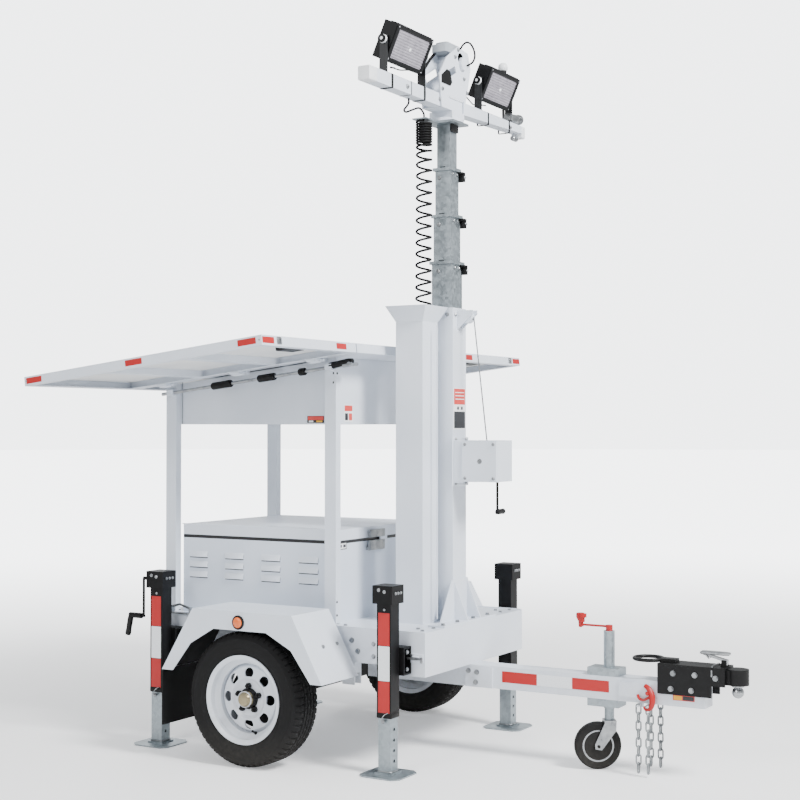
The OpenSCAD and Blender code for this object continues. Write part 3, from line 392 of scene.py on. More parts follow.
def clear_lens(name, shade, pitch_mm, axis="Y"):
    """Moulded coloured lens: fine optic ribs across the inside, bumped into the surface, and a painted highlight that
    lightens the colour towards a pale warm glint in bands along them.
    """
    material, tree, output, place = blank(name)
    part = add(tree, "SeparateXYZ", {0: place}).outputs[axis]
    phase = add(tree, "Math", {0: part, 1: 2*math.pi*1000/pitch_mm}, operation="MULTIPLY").outputs[0]
    wave = add(tree, "Math", {0: phase}, operation="SINE").outputs[0]
    band = add(tree, "Math", {0: wave, 1: 0.5}, operation="MULTIPLY_ADD").outputs[0]
    # Painted highlight: the lens colour lightened towards a pale warm glint, laid on in bands along the ribs
    painted_glint = add(tree, "Mix", {0: 0.12, 6: colour(shade), 7: colour("#ffd9a0")}, data_type="RGBA").outputs[2]
    base = add(tree, "Mix", {0: band, 6: colour(shade), 7: painted_glint}, data_type="RGBA").outputs[2]
    shader = add(tree, "BsdfPrincipled", {"Base Color": base, "Roughness": 0.14, "IOR": 1.49,
        "Coat Weight": 0.4, "Coat Roughness": 0.05})
    lift = add(tree, "Bump", {"Strength": 0.4, "Distance": 0.0008, "Height": band}).outputs[0]
    tree.links.new(lift, shader.inputs["Normal"])
    tree.links.new(shader.outputs[0], output.inputs["Surface"])
    return material


# The roof's own frame: its tilt, the place of its front edge, its half width and the line of the lock rods
ROOF_TILT = 6.6
ROOF_HALF = 1197.0
ROOF_AT = (382.0, 0.0, 1821.0)
ROD = (-1070.0, 455.0, -44.0)


def solar_cells(name):
    """Monocrystalline cells under glass: near-black blue, with silver busbars every 26 mm and hair-fine fingers
    drawn 3 mm apart so that they show.
    """
    material, tree, output, place = blank(name)
    local = add(tree, "Mapping", {"Vector": place, "Location": tuple(metres(ROOF_AT)),
        "Rotation": (0, -math.radians(ROOF_TILT), 0)}, vector_type="TEXTURE").outputs[0]
    parts = add(tree, "SeparateXYZ", {0: local})
    lines = []
    for way, half_pitch, half_width in (("Y", 0.013, 0.0009), ("X", 0.0015, 0.0003)):
        # Moved by 5 m first, because the zigzag is wanted on positive lengths alone
        ahead = add(tree, "Math", {0: parts.outputs[way], 1: 5.0}, operation="ADD").outputs[0]
        zigzag = add(tree, "Math", {0: ahead, 1: half_pitch}, operation="PINGPONG").outputs[0]
        lines.append(add(tree, "Math", {0: zigzag, 1: half_width}, operation="LESS_THAN").outputs[0])
    bus, finger = lines
    cloud = add(tree, "TexNoise", {"Vector": place, "Scale": 6.0, "Detail": 3.0}).outputs["Fac"]
    silicon = add(tree, "ValToRGB", {0: cloud}, stops=[(0.3, "#0b1326"), (0.7, "#111c36")]).outputs[0]
    faint = add(tree, "Math", {0: finger, 1: 0.12}, operation="MULTIPLY").outputs[0]
    base = add(tree, "Mix", {0: faint, 6: silicon, 7: colour("#8c97a8")}, data_type="RGBA").outputs[2]
    base = add(tree, "Mix", {0: bus, 6: base, 7: colour("#b9c0c8")}, data_type="RGBA").outputs[2]
    shader = add(tree, "BsdfPrincipled", {"Base Color": base, "Roughness": 0.3, "IOR": 1.52, "Coat Weight": 1.0,
        "Coat Roughness": 0.04, "Coat IOR": 1.52})
    tree.links.new(shader.outputs[0], output.inputs["Surface"])
    return material


def tread_rubber(name):
    """Moulded tyre rubber: deep charcoal, matt, with a fine moulding grain and dust in the grooves."""
    return finish_of(name, ("#070708", "#0e0e0f"), 60, 0.8, gloss=0.3, bump=0.25, bump_mm=1.2, dust=("#3f3c37", 0.2))


FINISHES = {
    # Powder coat on sheet steel: a soft gloss with a faint orange peel
    "white powder coat": lambda n: finish_of(n, ("#d3dae4", "#dde3ec"), 350, 0.33, bump=0.05, bump_mm=2.5,
        coat=0.2, dust=("#a89f90", 0.55)),
    # The same coat on the cabinet, with the black rubber seal under the lid
    "cabinet powder coat": lambda n: finish_of(n, ("#cfd8e5", "#d9e1ec"), 350, 0.33, bump=0.05, bump_mm=2.5,
        coat=0.2, bands=[("Z", CABINET[1][2]*MM - 0.0215, CABINET[1][2]*MM - 0.0064, "#0c0c0e")]),
    # The crossbar is white, and its lamp brackets above the bar's top face are black
    "crossbar powder coat": lambda n: finish_of(n, ("#d3dae4", "#dde3ec"), 350, 0.33, bump=0.05, bump_mm=2.5,
        coat=0.2, bands=[("Z", (BAR_Z + 29.2)*MM, 9.0, "#191a1c")]),
    # Satin black powder coat: soft highlights and a slightly open texture
    "black powder coat": lambda n: finish_of(n, ("#040405", "#09090a"), 120, 0.45, gloss=0.22, bump=0.12, bump_mm=2.0,
        dust=("#4f4b45", 0.3)),
    # Painted sand casting: dull black with a coarse, lumpy skin
    "black casting": lambda n: finish_of(n, ("#060607", "#0d0d0e"), 25, 0.48, gloss=0.25, bump=0.5, bump_mm=2.2),
    # Bright zinc on small steel fittings: an even, slightly soft silver
    "zinc plate": lambda n: finish_of(n, ("#84878a", "#b0b2b4"), 30, 0.3, metallic=0.95, bump=0.06, bump_mm=3),
    # Zinc from the bath on mast and legs: pale grey crystals, each with its own gloss
    "hot-dip zinc": lambda n: galvanised(n, "#a9b2b7", "#8f989d", 0.42),
    # The same zinc, weathered on chain and welds: darker and flatter
    "dull hot-dip zinc": lambda n: galvanised(n, "#a7abad", "#74787b", 0.5),
    # Turned brass gone dull: a warm, low shine on the dust caps
    "dull brass": lambda n: finish_of(n, ("#8f8468", "#aba084"), 25, 0.34, metallic=0.9, bump=0.1, bump_mm=2),
    # Steel off the lathe or drawn to wire: a clean, tight highlight
    "turned steel": lambda n: finish_of(n, ("#8e9194", "#b3b5b7"), 20, 0.28, metallic=1.0, bump=0.05),
    # Moulded rubber: the darkest and flattest surface, with dust low down
    "tyre rubber": tread_rubber,
    # Soft extruded rubber: flat black with a faint grain
    "black rubber": lambda n: finish_of(n, ("#060606", "#0c0c0d"), 15, 0.62, gloss=0.25, bump=0.2, bump_mm=1.5),
    # Extruded polyurethane: deep black with a thin soft highlight along each turn
    "cable jacket": lambda n: finish_of(n, ("#030304", "#070708"), 20, 0.62, gloss=0.2, bump=0.08, bump_mm=1.5),
    # Injection-moulded nylon with a spark-eroded texture: soft black
    "black moulded plastic": lambda n: finish_of(n, ("#070708", "#0d0d0e"), 40, 0.45, gloss=0.3, bump=0.15,
        bump_mm=0.9),
    # Injection-moulded red grip: even colour with a broad soft shine
    "red moulded plastic": lambda n: finish_of(n, ("#9c0204", "#ac0406"), 30, 0.38, bump=0.1, bump_mm=1.5),
    # Moulded white covers: cleaner and a little flatter than the paint
    "white moulded plastic": lambda n: finish_of(n, ("#dfe3e6", "#eef0f2"), 60, 0.4, bump=0.06, bump_mm=1.5),
    # Moulded grey motor covers: plain mid grey between paint and shadow
    "grey moulded plastic": lambda n: finish_of(n, ("#8f969d", "#a5abb1"), 60, 0.45, bump=0.08, bump_mm=1.5),
    # Moulded polypropylene: blue-black with a dry texture
    "battery case": lambda n: finish_of(n, ("#22262b", "#2d3238"), 60, 0.55, bump=0.2, bump_mm=1.0),
    # Laminated polyester film under the cells: flat off-white
    "backsheet": lambda n: finish_of(n, ("#d9dadb", "#e6e6e4"), 300, 0.55, bump=0.04, bump_mm=3),
    # Painted die casting: satin black whose fine grain breaks up the highlight
    "lamp casting": lambda n: finish_of(n, ("#060709", "#0c0d10"), 40, 0.42, gloss=0.25, bump=0.25, bump_mm=1.6),
    # Prismatic tapes on the jacks, drawbar and roof: flat strong colour
    "red marking tape": lambda n: reflective(n, "#b00000"),
    "white marking tape": lambda n: reflective(n, "#eceff2"),
    # Moulded acrylic lenses: clear gloss over fine ribs, with a painted highlight in bands along the ribs
    "amber lens": lambda n: clear_lens(n, "#e05c00", 5, "X"),
    "red lens": lambda n: clear_lens(n, "#b5121b", 6),
    # Printed vinyl: plain satin colours of the decals
    "label red": lambda n: finish_of(n, ("#c9342f", "#d24640"), 40, 0.4),
    "label white": lambda n: finish_of(n, ("#e8eaec", "#f2f3f4"), 40, 0.4),
    "label dark": lambda n: finish_of(n, ("#1e2024", "#2b2d31"), 40, 0.4),
    "label yellow": lambda n: finish_of(n, ("#e0a214", "#edb428"), 40, 0.4),
    # Anodised reflector: pale silver that darkens between its ribs
    "reflector grey": lambda n: finish_of(n, ("#8a868f", "#a5a1aa"), 30, 0.34, metallic=0.2, bump=0.1, bump_mm=5),
    # Silicon under glass: blue-black with silver lines and a hard reflection
    "solar cell": solar_cells,
}


def finish(name):
    """The named finish, made the first time that it is asked for."""
    return bpy.data.materials.get(name) or FINISHES[name](name)


def piece(name, shape, body, look, slot="white_paint", smooth=35.0):
    """A fitting: a shape with one of the finishes, riding on a body."""
    return mesh_piece(name, shape, body, finish(look), smooth)


# ---- sizes and colours a user would change ----

class TowerSizes(bpy.types.PropertyGroup):
    """Sizes of the soft and moulded details."""
    cord_wire: bpy.props.FloatProperty(name="Curly cord", description="Diameter of the coiled cord's jacket",
        default=0.0105, min=0.006, max=0.012, unit="LENGTH")
    cord_coil: bpy.props.FloatProperty(name="Coil radius", description="Radius of the coil at the middle of the cord",
        default=0.0336, min=0.02, max=0.036, unit="LENGTH")
    open_turns: bpy.props.IntProperty(name="Open turns", description="Turns of the cord that hang open",
        default=16, min=8, max=24)
    tight_turns: bpy.props.IntProperty(name="Tight turns", description="Turns that stay closed under the lamp head",
        default=9, min=2, max=12)
    groove: bpy.props.FloatProperty(name="Tread depth", description="Depth of the tyre's grooves",
        default=0.007, min=0.002, max=0.009, unit="LENGTH")
    tape_width: bpy.props.FloatProperty(name="Tape width", description="Width of the marking tape on the drawbar",
        default=0.05, min=0.03, max=0.07, unit="LENGTH")


class TowerColours(bpy.types.PropertyGroup):
    """Colours of the stage."""
    floor: bpy.props.FloatVectorProperty(name="Floor", description="Colour of the floor", subtype="COLOR",
        default=(0.86, 0.86, 0.86), min=0.0, max=1.0)
    sky: bpy.props.FloatVectorProperty(name="Surroundings", description="Colour of the light from all round",
        subtype="COLOR", default=(0.96, 0.98, 1.0), min=0.0, max=1.0)


class BuildStep(bpy.types.Operator):
    """Common settings of every step."""
    bl_options = {"REGISTER", "UNDO"}


# ---- stage ----

CAMERA_AT = (3.3091, -6.036, 1.492)
CAMERA_TURN = 30.284
CAMERA_RISE = 1.027
CAMERA_LENS = 66.30
SKY_GLOW = 4.5


class BuildStage(BuildStep):
    """Camera, pale floor and soft studio light"""
    bl_idname = "light_tower.stage"
    bl_label = "Stage"

    def execute(self, context):
        colours = context.scene.tower_colours
        lens = bpy.data.cameras.new("Camera")
        lens.lens, lens.sensor_width, lens.clip_end = CAMERA_LENS, 36.0, 200.0
        camera = bpy.data.objects.new("Camera", lens)
        camera.location = CAMERA_AT
        camera.rotation_euler = (math.radians(90 + CAMERA_RISE), 0, math.radians(CAMERA_TURN))
        context.scene.collection.objects.link(camera)
        context.scene.camera = camera
        # Floor: a flat disc of radius R, its rings at R*u^1.6, round the middle of the part
        rings = 90000*np.linspace(0, 1, 30)[1:]**1.6
        points, faces = turning(np.stack([rings, np.full(29, -1.0)], axis=1), (-AXLE/MM, 0, 0), (0, 0, 1), 96)
        floor = mesh_piece("studio_floor", (points, faces[:-1]), None, None)
        paint, tree, output, place = blank("studio floor")
        # Matt paint that glows more with distance, so that the floor runs into the surroundings
        part = add(tree, "SeparateXYZ", {0: place})
        squares = [add(tree, "Math", {0: part.outputs[way], 1: 2.0}, operation="POWER").outputs[0] for way in "XY"]
        total = add(tree, "Math", {0: squares[0], 1: squares[1]}, operation="ADD").outputs[0]
        away = add(tree, "Math", {0: total, 1: 0.5}, operation="POWER").outputs[0]
        glow = add(tree, "MapRange", {"Value": away, "From Min": 1.5, "From Max": 12.0, "To Min": 0.35,
            "To Max": SKY_GLOW}, interpolation_type="SMOOTHSTEP").outputs[0]
        seen = add(tree, "LightPath").outputs["Is Camera Ray"]
        glow = add(tree, "Math", {0: glow, 1: seen}, operation="MULTIPLY").outputs[0]
        shade = add(tree, "BsdfPrincipled", {"Base Color": (*colours.floor, 1.0), "Roughness": 0.9,
            "Specular IOR Level": 0.1, "Emission Color": (*colours.sky, 1.0), "Emission Strength": glow})
        tree.links.new(shade.outputs[0], output.inputs["Surface"])
        floor.data.materials[0] = paint
        world = bpy.data.worlds.new("studio")
        world.use_nodes = True
        tree = world.node_tree
        ground = tree.nodes["Background"]
        ground.inputs["Color"].default_value = (*colours.sky, 1.0)
        seen = add(tree, "LightPath").outputs["Is Camera Ray"]
        tree.links.new(add(tree, "MapRange", {"Value": seen, "To Min": 0.8, "To Max": SKY_GLOW}).outputs[0],
            ground.inputs["Strength"])
        context.scene.world = world
        for name, at, aim, size, power in (
                ("key", (6.5, -1.5, 7.0), (0, 0, 1.3), 2.4, 1500),
                ("side", (-1.0, -8.5, 5.0), (0, 0, 1.2), 3.0, 330),
                ("back", (-5.0, 6.0, 6.0), (0, 0, 1.5), 4.0, 260)):
            lamp = bpy.data.lights.new(name, "AREA")
            lamp.shape, lamp.size, lamp.energy = "DISK", size, power
            lamp_object = bpy.data.objects.new(name, lamp)
            way = np.array(aim) - np.array(at)
            flat = math.hypot(way[0], way[1])
            lamp_object.location = at
            lamp_object.rotation_euler = (math.atan2(flat, -way[2]), 0, math.atan2(-way[0], way[1]))
            context.scene.collection.objects.link(lamp_object)
        return {"FINISHED"}


# ---- cords ----

def declared(name, path, r, body, replaces=None, look="cable jacket"):
    """A cord: its tube along a path, hung on a body; the frame node that it replaces is hidden."""
    made = piece(name, tube(path, r, 10), body, look, "black_rubber", 60)
    if replaces:
        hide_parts(replaces)
    return made


CORD_AT = np.array([540.0, -150.0])
CORD_LOW, CORD_HIGH = 1986.0, 2893.0
FEED_ROUTE = [(-40, -150, -2), (-40, -150, 22), (-40, -190, 40), (-40, -250, 22), (-40, -310, 0),
    (-32, -344, 2), (-12, -360, 10), (2, -362, 26), (2, -362, 46.7)]


class BuildCords(BuildStep):
    """Curly cord, lifting rope and the leads on the lamp head"""
    bl_idname = "light_tower.cords"
    bl_label = "Cords and rope"

    def execute(self, context):
        sizes = context.scene.tower_sizes
        wire, coil = sizes.cord_wire/2/MM, sizes.cord_coil/MM
        low_turns, top_turns = sizes.open_turns + 0.5, sizes.tight_turns
        # Helix whose height rises steeply through the open turns and by one jacket a turn above them
        turn = np.linspace(0, low_turns + top_turns, int((low_turns + top_turns)*26))
        step_top = 2*wire + 1.4
        split = CORD_HIGH - top_turns*step_top
        z = np.interp(turn, [0, 1.2, low_turns - 1.5, low_turns, low_turns + top_turns],
            [CORD_LOW, CORD_LOW + 0.8*(split - CORD_LOW)/low_turns, split - 1.1*(split - CORD_LOW)/low_turns, split,
            CORD_HIGH])
        z = np.convolve(np.pad(z, 20, mode="reflect", reflect_type="odd"), np.ones(41)/41, "valid")
        t = 2*math.pi*turn + 2.1
        sway = 2.0*np.sin(z/190)
        path = np.stack([CORD_AT[0] + sway + coil*np.cos(t), CORD_AT[1] + coil*np.sin(t), z], axis=1)
        cord = mesh_piece("curly_cord_coil", tube(path, wire, 10), None, finish("cable jacket"), 60)
        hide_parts("curly_cord")
        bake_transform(cord)
        top, low = np.array([MAST_X + 140.4, 0, 1996.0]), np.array([791.0, 0, 1396.0])
        declared("lifting_rope", low + (top - low)*np.linspace(0, 1, 16)[:, None], 3.0, "root",
            replaces="winch_rope", look="turned steel")
        declared("feed_lead", smooth_path(np.array(FEED_ROUTE) + [MAST_X, 0, HEAD_Z], 8), 4.5, "lamp_head",
            replaces="lamp_leads")
        head = {
            "motor_cable": (7.0, [(566, 34, 3272), (556, -2, 3262), (548, -46, 3236), (544, -92, 3196),
                (542, -136, 3150),
                (541, -178, 3100), (544, -194, 3062), (556, -200, 3030), (576, -202, 3011)]),
            "hub_loop": (4.5, [(640, 22, 3255), (652, 30, 3276), (656, 60, 3292), (656, 100, 3290), (655, 132, 3268),
                (655, 138, 3240), (655, 118, 3212), (652, 80, 3190), (646, 48, 3178), (640, 30, 3172)]),
            "near_lamp_lead": (3.0, [(562, -452, 3076), (540, -446, 3080), (530, -425, 3088), (540, -370, 3086),
                (556, -320, 3094), (560, -240, 3106), (558, -196, 3086), (556, -176, 3060)]),
            "far_lamp_lead": (3.0, [(562, 438, 3076), (540, 430, 3080), (530, 405, 3082), (540, 350, 3066),
                (556, 290, 3064), (560, 220, 3084), (560, 150, 3100), (552, 110, 3120)]),
        }
        for name, (r, route) in head.items():
            declared(name, smooth_path(route, 10), r, "lamp_head")
        return {"FINISHED"}


# ---- finishes of the frame ----

NODE_FINISH = {
    "black powder coat": ["axle", "leaf_springs", "jack_tubes", "jack_caps", "jack_brackets", "jack_crank",
        "winch_crank"],
    "zinc plate": ["fasteners", "coupler_latch", "jockey_fork", "lock_rod_left", "lock_rod_right"],
    "white powder coat": ["chassis_frame", "front_beam", "deck", "drawbar", "splice_plates", "fenders", "posts",
        "shroud", "mast_base", "mast_shoe", "cable_column", "cabinet_lid", "head_frame", "rim_left", "rim_right",
        "centre_module", "wing_left", "wing_right", "winch_housing"],
    "cabinet powder coat": ["cabinet"],
    "crossbar powder coat": ["crossbar"],
    "black rubber": ["mud_flaps"],
    "battery case": ["batteries"],
    "hot-dip zinc": ["leg_front_left", "leg_front_right", "leg_rear_left", "leg_rear_right", "jockey_post",
        "jockey_leg", "mast_section_1", "mast_section_2", "mast_section_3", "mast_section_4"],
    "dull hot-dip zinc": ["safety_chains"],
    "black casting": ["coupler_body", "coupler_eye"],
    "turned steel": ["tow_ball", "winch_drum"],
    "lamp casting": ["lamp_left", "lamp_right"],
    "red moulded plastic": ["jockey_crank"],
    "tyre rubber": ["tyre_left", "tyre_right", "jockey_wheel"],
    "amber lens": ["road_lights"],
}


class PaintFrame(BuildStep):
    """Gives every node of the frame its finish"""
    bl_idname = "light_tower.paint"
    bl_label = "Frame finishes"

    def execute(self, context):
        left = set(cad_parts)
        for look, nodes in NODE_FINISH.items():
            for node in nodes:
                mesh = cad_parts[node].data
                mesh.materials.clear()
                mesh.materials.append(finish(look))
                left.discard(node)
        left -= {"curly_cord", "lamp_leads", "winch_rope"}
        if left:
            raise RuntimeError(f"no finish for {sorted(left)}")
        return {"FINISHED"}


SLOTS = {"white powder coat": "white_paint", "black powder coat": "black_paint", "hot-dip zinc": "galvanised",
    "turned steel": "steel", "zinc plate": "steel", "black rubber": "black_rubber", "tyre rubber": "tyre_rubber",
    "amber lens": "lens_plastic", "red lens": "lens_plastic", "red moulded plastic": "red_plastic",
    "black casting": "cast_black", "lamp casting": "lamp_metal", "solar cell": "solar_panel", "dull brass": "steel",
    "backsheet": "solar_panel", "reflector grey": "lamp_metal"}


def fitted(name, look, body, *shapes, smooth=35.0):
    """Several shapes as one fitting with its finish."""
    slot = SLOTS.get(look, "white_paint" if "white" in look else "black_paint")
    return piece(name, join(*shapes), body, look, slot, smooth)


def on_face(axis, level, out, a0, a1, z0, z1, thick=0.6, r=2.0):
    """Thin plate lying on a plane of constant x or y, on the side that out points to."""
    low, high = sorted((level, level + out*thick))
    return plate(round_rect(a1 - a0, z1 - z0, r, 3, ((a0 + a1)/2, (z0 + z1)/2)), low, high, axis, 0.15)


def sticker(name, body, axis, level, out, a0, a1, z0, z1, layers):
    """Plain decal: a ground and blocks of colour on it, each given by its share of the width and height."""
    for i, (look, u0, u1, v0, v1) in enumerate(layers):
        fitted(f"{name}_{i}", look, body, on_face(axis, level + out*0.35*i, out, a0 + u0*(a1 - a0), a0 + u1*(a1 - a0),
            z0 + v0*(z1 - z0), z0 + v1*(z1 - z0), 0.6, 1.0))


# ---- wheels and fenders ----
WHEEL_NUTS = 5
NUT_CIRCLE = 56.0

def tyre_shape(groove):
    """Tyre: its outline of radius and height runs bead, sidewall, tread, sidewall, bead. The tread's radius drops by
    the groove where |h| is near a rib edge that waves once a pitch, and where a shoulder slot of the pitch lies.
    """
    half = np.array([(180.4, 52.5), (180.4, 72.5), (188, 76), (196, 79.5), (206, 84), (217.4, 88.5), (222, 90.6),
        (225, 90.2), (236, 91.9), (245, 92.5), (256, 91.2), (262, 90.4), (265, 91.2), (273, 86.5), (280, 81),
        (286, 76), (289.9, 72.5), (294, 66.5)])
    flat = np.linspace(60.5, -60.5, 62)
    r = np.concatenate([half[:, 0], TYRE_R - (flat/60.5)**4*1.5, half[::-1, 0]])
    h = np.concatenate([half[:, 1], flat, -half[::-1, 1]])
    pitches, steps = 60, 8
    step = np.arange(pitches*steps) % steps
    t = np.arange(pitches*steps)*2*math.pi/(pitches*steps)
    wave = 1.6*np.sin(step*math.pi/4)[:, None]
    tread = (np.abs(h) <= 61)[None, :]
    rib = np.minimum(np.abs(np.abs(h) - 11 - wave), np.abs(np.abs(h) - 34 + wave)) < 3.4
    slot = (step < 2)[:, None] & (np.abs(h) > 40)[None, :] & (r > 284)[None, :]
    sipe = (step == 4)[:, None] & (np.abs(h) < 30)[None, :] & tread
    radius = r[None, :] - np.where(rib & tread, groove, np.where(slot, 0.75*groove, np.where(sipe, 0.3*groove, 0)))
    across = np.broadcast_to(h, radius.shape)
    points = np.stack([radius*np.cos(t)[:, None], across, radius*np.sin(t)[:, None]], axis=-1)
    return points.reshape(-1, 3), grid_faces(len(t), len(r), True, True)


class BuildWheels(BuildStep):
    """Treaded tyres, wheel nuts, hub caps and valves"""
    bl_idname = "light_tower.wheels"
    bl_label = "Wheels"

    def execute(self, context):
        tread = tyre_shape(context.scene.tower_sizes.groove/MM)
        for side, s in SIDES.items():
            wheel, mid = f"wheel_{side}", np.array([0, s*TRACK/2, TYRE_R])
            tyre = fitted(f"tyre_tread_{side}", "tyre rubber", wheel, moved(tread, mid), smooth=28)
            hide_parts(f"tyre_{side}")
            out, nuts, studs = (0, s, 0), [], []
            for k in range(WHEEL_NUTS):
                a = math.radians(360/WHEEL_NUTS*k + 90)
                at = mid + [NUT_CIRCLE*math.cos(a), 0, -s*NUT_CIRCLE*math.sin(a)]
                nuts.append(turning([[12.6, 29], [13.4, 30.2], [13.4, 44], [11.4, 47.2], [6.5, 48]], at, out, 6))
                studs.append(turning([[6.6, 46], [6.6, 55.6], [5.2, 57.2]], at, out, 16))
            fitted(f"wheel_nuts_{side}", "black casting", wheel, *nuts, *studs)
            fitted(f"hub_cap_{side}", "dull brass", wheel, turning([[35.8, 22], [35.8, 60], [34.6, 63], [34.6, 66],
                [31, 70], [29.6, 74], [25, 78.6], [14, 80.4], [4, 80.8]], mid, out, 48))
            fitted(f"hub_seal_{side}", "black casting", wheel, ring_of([[36, 20], [46, 20], [46, 40], [42, 48],
                [36, 50]], mid, out, 40))
            # Brake drum behind the disc, dark through its windows
            fitted(f"brake_drum_{side}", "black casting", wheel,
                turning([[60, -66], [128, -66], [134, -60], [134, -14],
                [128, -8], [60, -6]], mid, out, 48))
            low = mid + [40, s*36, -148]
            fitted(f"valve_{side}", "black rubber", wheel, turning([[7.6, -4], [7.6, 3], [4.6, 6], [3.9, 24],
                [4.4, 25],
                [4.4, 33], [3.2, 35]], low, (0.05, s, 0.5), 16))
        return {"FINISHED"}


class BuildFenders(BuildStep):
    """Arch liners (black, partly painted shade), side markers, tail lamps and flap screws"""
    bl_idname = "light_tower.fenders"
    bl_label = "Fenders and road lights"

    def execute(self, context):
        # Black arch liners inside the fenders: part a rubber liner, part painted shade standing in for the shadow
        # inside each arch
        outer = [(-422, 404), (-258, 676), (255, 676), (418, 404)]
        inner = [(412, 404), (251, 670), (-254, 670), (-416, 404)]
        liner = plate(outer + inner, FENDER_IN + 4, 826, "y", 0)
        fitted("arch_liners_and_painted_shade", "black rubber", "root", both_sides(liner), smooth=0)
        markers, rings, red, amber, clear, boxes, screws = [], [], [], [], [], [], []
        for s in (1, -1):
            at, out = (-6, s*FENDER_OUT, 637), (0, s, 0)
            markers.append(turning([[24, 0], [24, 7], [21.5, 10.6], [15, 13], [4, 14]], at, out, 40))
            rings.append(ring_of([[23.4, 0], [31, 0], [31, 4.6], [29.4, 6.6], [26, 8], [23.4, 8]], at, out, 48))
            y0, y1 = sorted((s*293, s*443))
            boxes.append(block(-791, -765, y0, y1, 449, 529, 4))
            for lens, share in ((red, (0.05, 0.5)), (amber, (0.52, 0.78)), (clear, (0.8, 0.95))):
                a, b = sorted((s*(293 + 150*share[0]), s*(293 + 150*share[1])))
                lens.append(plate(round_rect(b - a, 70, 4, 4, ((a + b)/2, 489)), -795.5, -790, "x", 1.6))
            for y in (590, 700):
                screws.append(bolt(np.array([350, s*y, 541.5]) + 0.4*np.array([1, 0, 0.55]), (0.876, 0, 0.483), 7.5))
            for y in (520, 600, 700, 790):
                screws.append(bolt((-431, s*y, 385), (-1, 0, 0), 6.5))
        made = fitted("side_markers", "amber lens", "root", *markers)
        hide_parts("road_lights")
        fitted("marker_rings", "black rubber", "root", *rings)
        fitted("tail_lamp_cases", "black moulded plastic", "root", *boxes)
        fitted("tail_lamp_red", "red lens", "root", *red)
        fitted("tail_lamp_amber", "amber lens", "root", *amber)
        fitted("tail_lamp_clear", "white moulded plastic", "root", *clear)
        fitted("fender_screws", "zinc plate", "root", *screws)
        return {"FINISHED"}


# ---- jacks and chassis ----

JACKS = {"front": 607.0, "rear": -640.0}
JACK_Y = 583.0
JACK_FACE = JACK_Y + 35


class BuildJacks(BuildStep):
    """Marking tape, cap bolts, foot skirts, pins and the crank's grip"""
    bl_idname = "light_tower.jacks"
    bl_label = "Stabiliser jacks"

    def execute(self, context):
        red, white, heads, rims = [], [], [], []
        for x in JACKS.values():
            for s in (1, -1):
                for z0, z1, into in ((554, 694, red), (404, 552, white), (256, 402, red)):
                    into.append(on_face("y", s*JACK_FACE, s, x - 28, x + 28, z0, z1, 0.7))
                for dx, z in ((-18, 792), (10, 786)):
                    heads.append(bolt((x + dx, s*632, z), (0, s, 0), 6.5))
                for dy in (-20, 2, 24):
                    heads.append(bolt((656 if x > 0 else -591, s*JACK_Y + dy, 778), (1, 0, 0), 6))
                heads.append(screw((x + 2, s*(JACK_FACE + 0.6), 708), (0, s, 0), 12))
                # Rolled rim at the tube's mouth
                rims.append(skin([np.column_stack([round_rect(w, w, 6, 4, (x, s*JACK_Y)), np.full(16, z)])
                    for w, z in ((72.5, 268), (75, 265), (75, 249), (72, 245.4), (64, 245.4), (62, 250), (62, 266),
                    (64, 268))], False, True))
        fitted("jack_tape_red", "red marking tape", "root", *red)
        fitted("jack_tape_white", "white marking tape", "root", *white)
        fitted("jack_bolts", "zinc plate", "root", *heads)
        fitted("jack_mouths", "black powder coat", "root", *rims)
        for end, x in JACKS.items():
            for side, s in SIDES.items():
                leg, y = f"jack_leg_{end}_{side}", s*JACK_Y
                # Lock pin under the tube's mouth, on a short lanyard
                fitted(f"jack_pin_{end}_{side}", "zinc plate", "root", turning([[5.4, -42], [5.4, 40], [9, 41],
                    [9, 46], [7, 48]], (x, y, 233), (0, s, 0), 16), turning([[7, -36], [7, -43], [5, -45]],
                    (x, y, 233), (0, s, 0), 16), tube(smooth_path([(x, y + s*47, 233), (x, y + s*55, 244),
                    (x + 10, y + s*50, 262), (x + 22, y + s*38, 270)], 6), 1.8, 8))
                # Weld bead where the leg meets its foot
                bead = np.column_stack([round_rect(66, 66, 8, 8, (x, y)), np.full(32, 17.0)])
                ring = np.concatenate([bead, bead[:1], bead[1:2]])
                fitted(f"foot_weld_{end}_{side}", "dull hot-dip zinc", leg, tube(ring, 4.0, 8, False))
        fitted("jack_crank_grip", "black moulded plastic", "jack_handle",
            turning([[9, 0], [13, 3], [14, 20], [13, 60],
            [14.4, 84], [12, 92], [5, 95]], (-824, -583, 586), (-0.02, 0, -0.1), 24))
        return {"FINISHED"}


